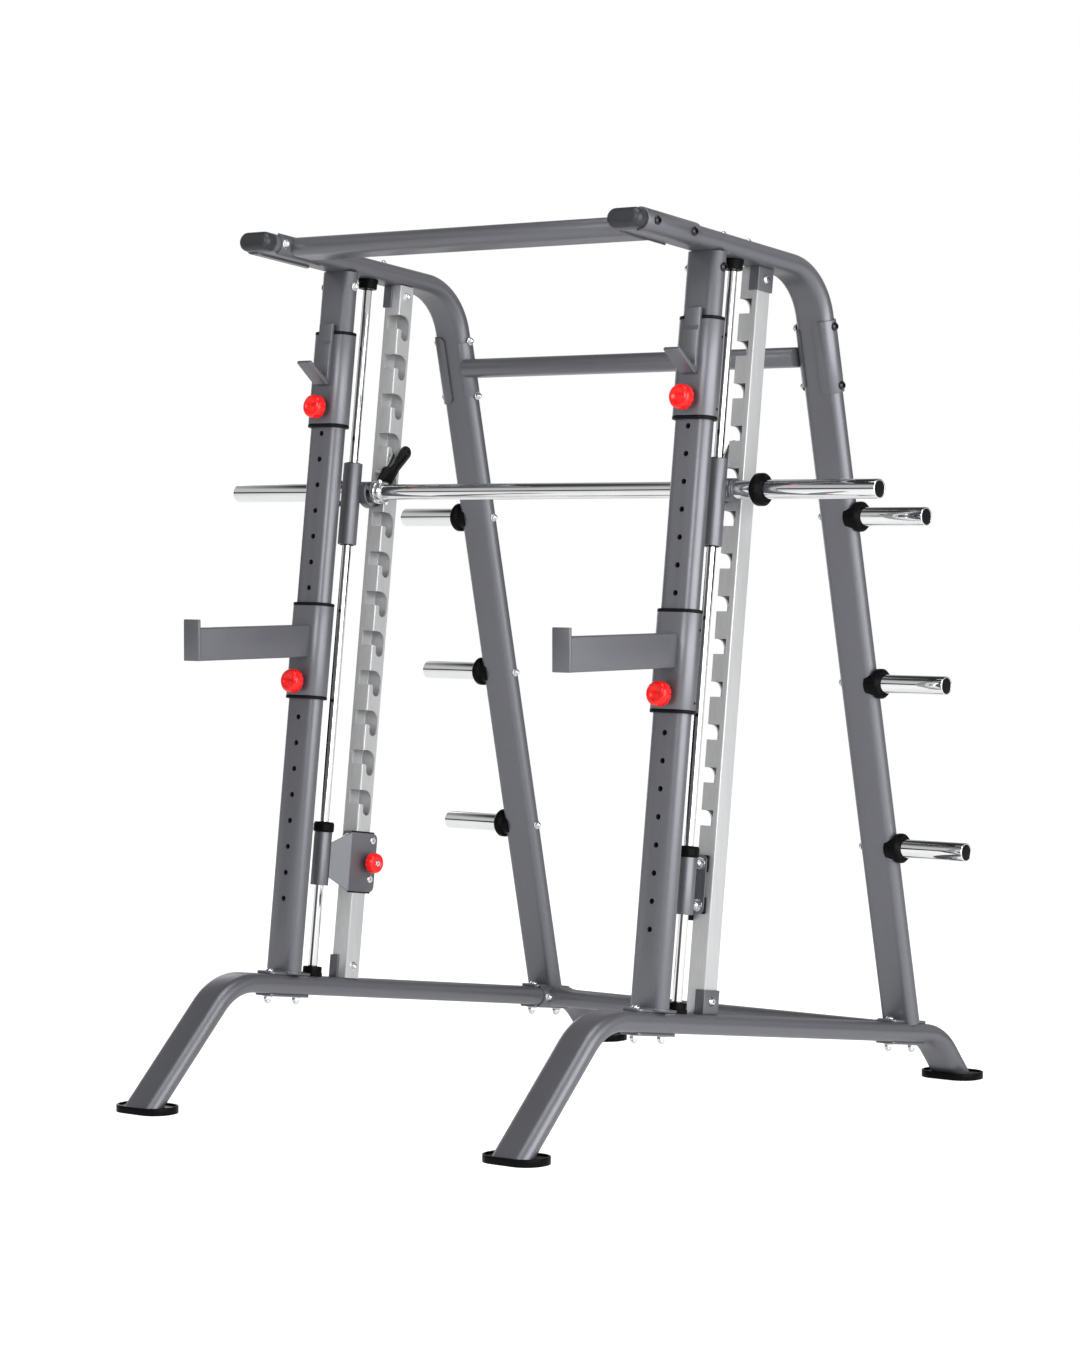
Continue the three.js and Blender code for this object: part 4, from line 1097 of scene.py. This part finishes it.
def area_light(name, location, target, size, energy):
    data = bpy.data.lights.new(name, "AREA")
    data.shape = "RECTANGLE"
    data.size, data.size_y = size
    data.energy = energy
    obj = bpy.data.objects.new(name, data)
    obj.location = location
    obj.rotation_euler = (Vector(target) - Vector(location)).to_track_quat("-Z", "Y").to_euler()
    add_to_scene(obj)


def world():
    """White surroundings, which light the object only dimly, with a dark band at the horizon."""
    made = bpy.data.worlds.new("studio")
    made.use_nodes = True
    nodes, links = made.node_tree.nodes, made.node_tree.links
    background = nodes["Background"]
    background.inputs["Color"].default_value = (1, 1, 1, 1)
    seen = nodes.new("ShaderNodeLightPath")
    place = nodes.new("ShaderNodeTexCoord")
    split = nodes.new("ShaderNodeSeparateXYZ")
    links.new(place.outputs["Generated"], split.inputs["Vector"])
    level = nodes.new("ShaderNodeValToRGB")
    stops = [(0.0, 0.30), (0.47, 0.30), (0.48, 0.01), (0.56, 0.01), (0.60, 0.58), (0.76, 0.58),
             (0.86, 0.05), (1.0, 0.03)]
    while len(level.color_ramp.elements) < len(stops):
        level.color_ramp.elements.new(0.5)
    for element, (position, value) in zip(level.color_ramp.elements, stops):
        element.position = position
        element.color = (value, value, value, 1)
    half = nodes.new("ShaderNodeMapRange")
    half.inputs["From Min"].default_value = -1
    links.new(split.outputs["Z"], half.inputs["Value"])
    links.new(half.outputs["Result"], level.inputs["Fac"])
    strength = nodes.new("ShaderNodeMix")
    links.new(seen.outputs["Is Camera Ray"], strength.inputs["Factor"])
    links.new(level.outputs["Color"], strength.inputs["A"])
    strength.inputs["B"].default_value = 1.0
    links.new(strength.outputs["Result"], background.inputs["Strength"])
    bpy.context.scene.world = made


def camera():
    """The main viewing angle: a long lens from the front right, a little under half height."""
    data = bpy.data.cameras.new("camera")
    data.sensor_width = 36
    data.lens = 103.0
    obj = bpy.data.objects.new("camera", data)
    obj.location = (6.7101, -8.1662, 1.5609)
    obj.rotation_euler = (math.radians(87.79), 0, math.radians(39.74))
    add_to_scene(obj)
    bpy.context.scene.camera = obj


floor()
world()
camera()
# Name, location, target, size and power of each lamp.
area_light("key", (6.9, -1.6, 2.4), (0, 0, 1.3), (9, 5), 640)
area_light("top", (1.0, -1.5, 6.5), (0, 0, 1.0), (3.5, 3.5), 165)
area_light("front", (0.5, -9.0, 4.5), (0, 0, 1.2), (4, 3), 280)
area_light("left", (-7.0, 3.5, 2.2), (0, 0, 1.2), (3, 4), 90)
bpy.context.scene.view_settings.view_transform = "Standard"
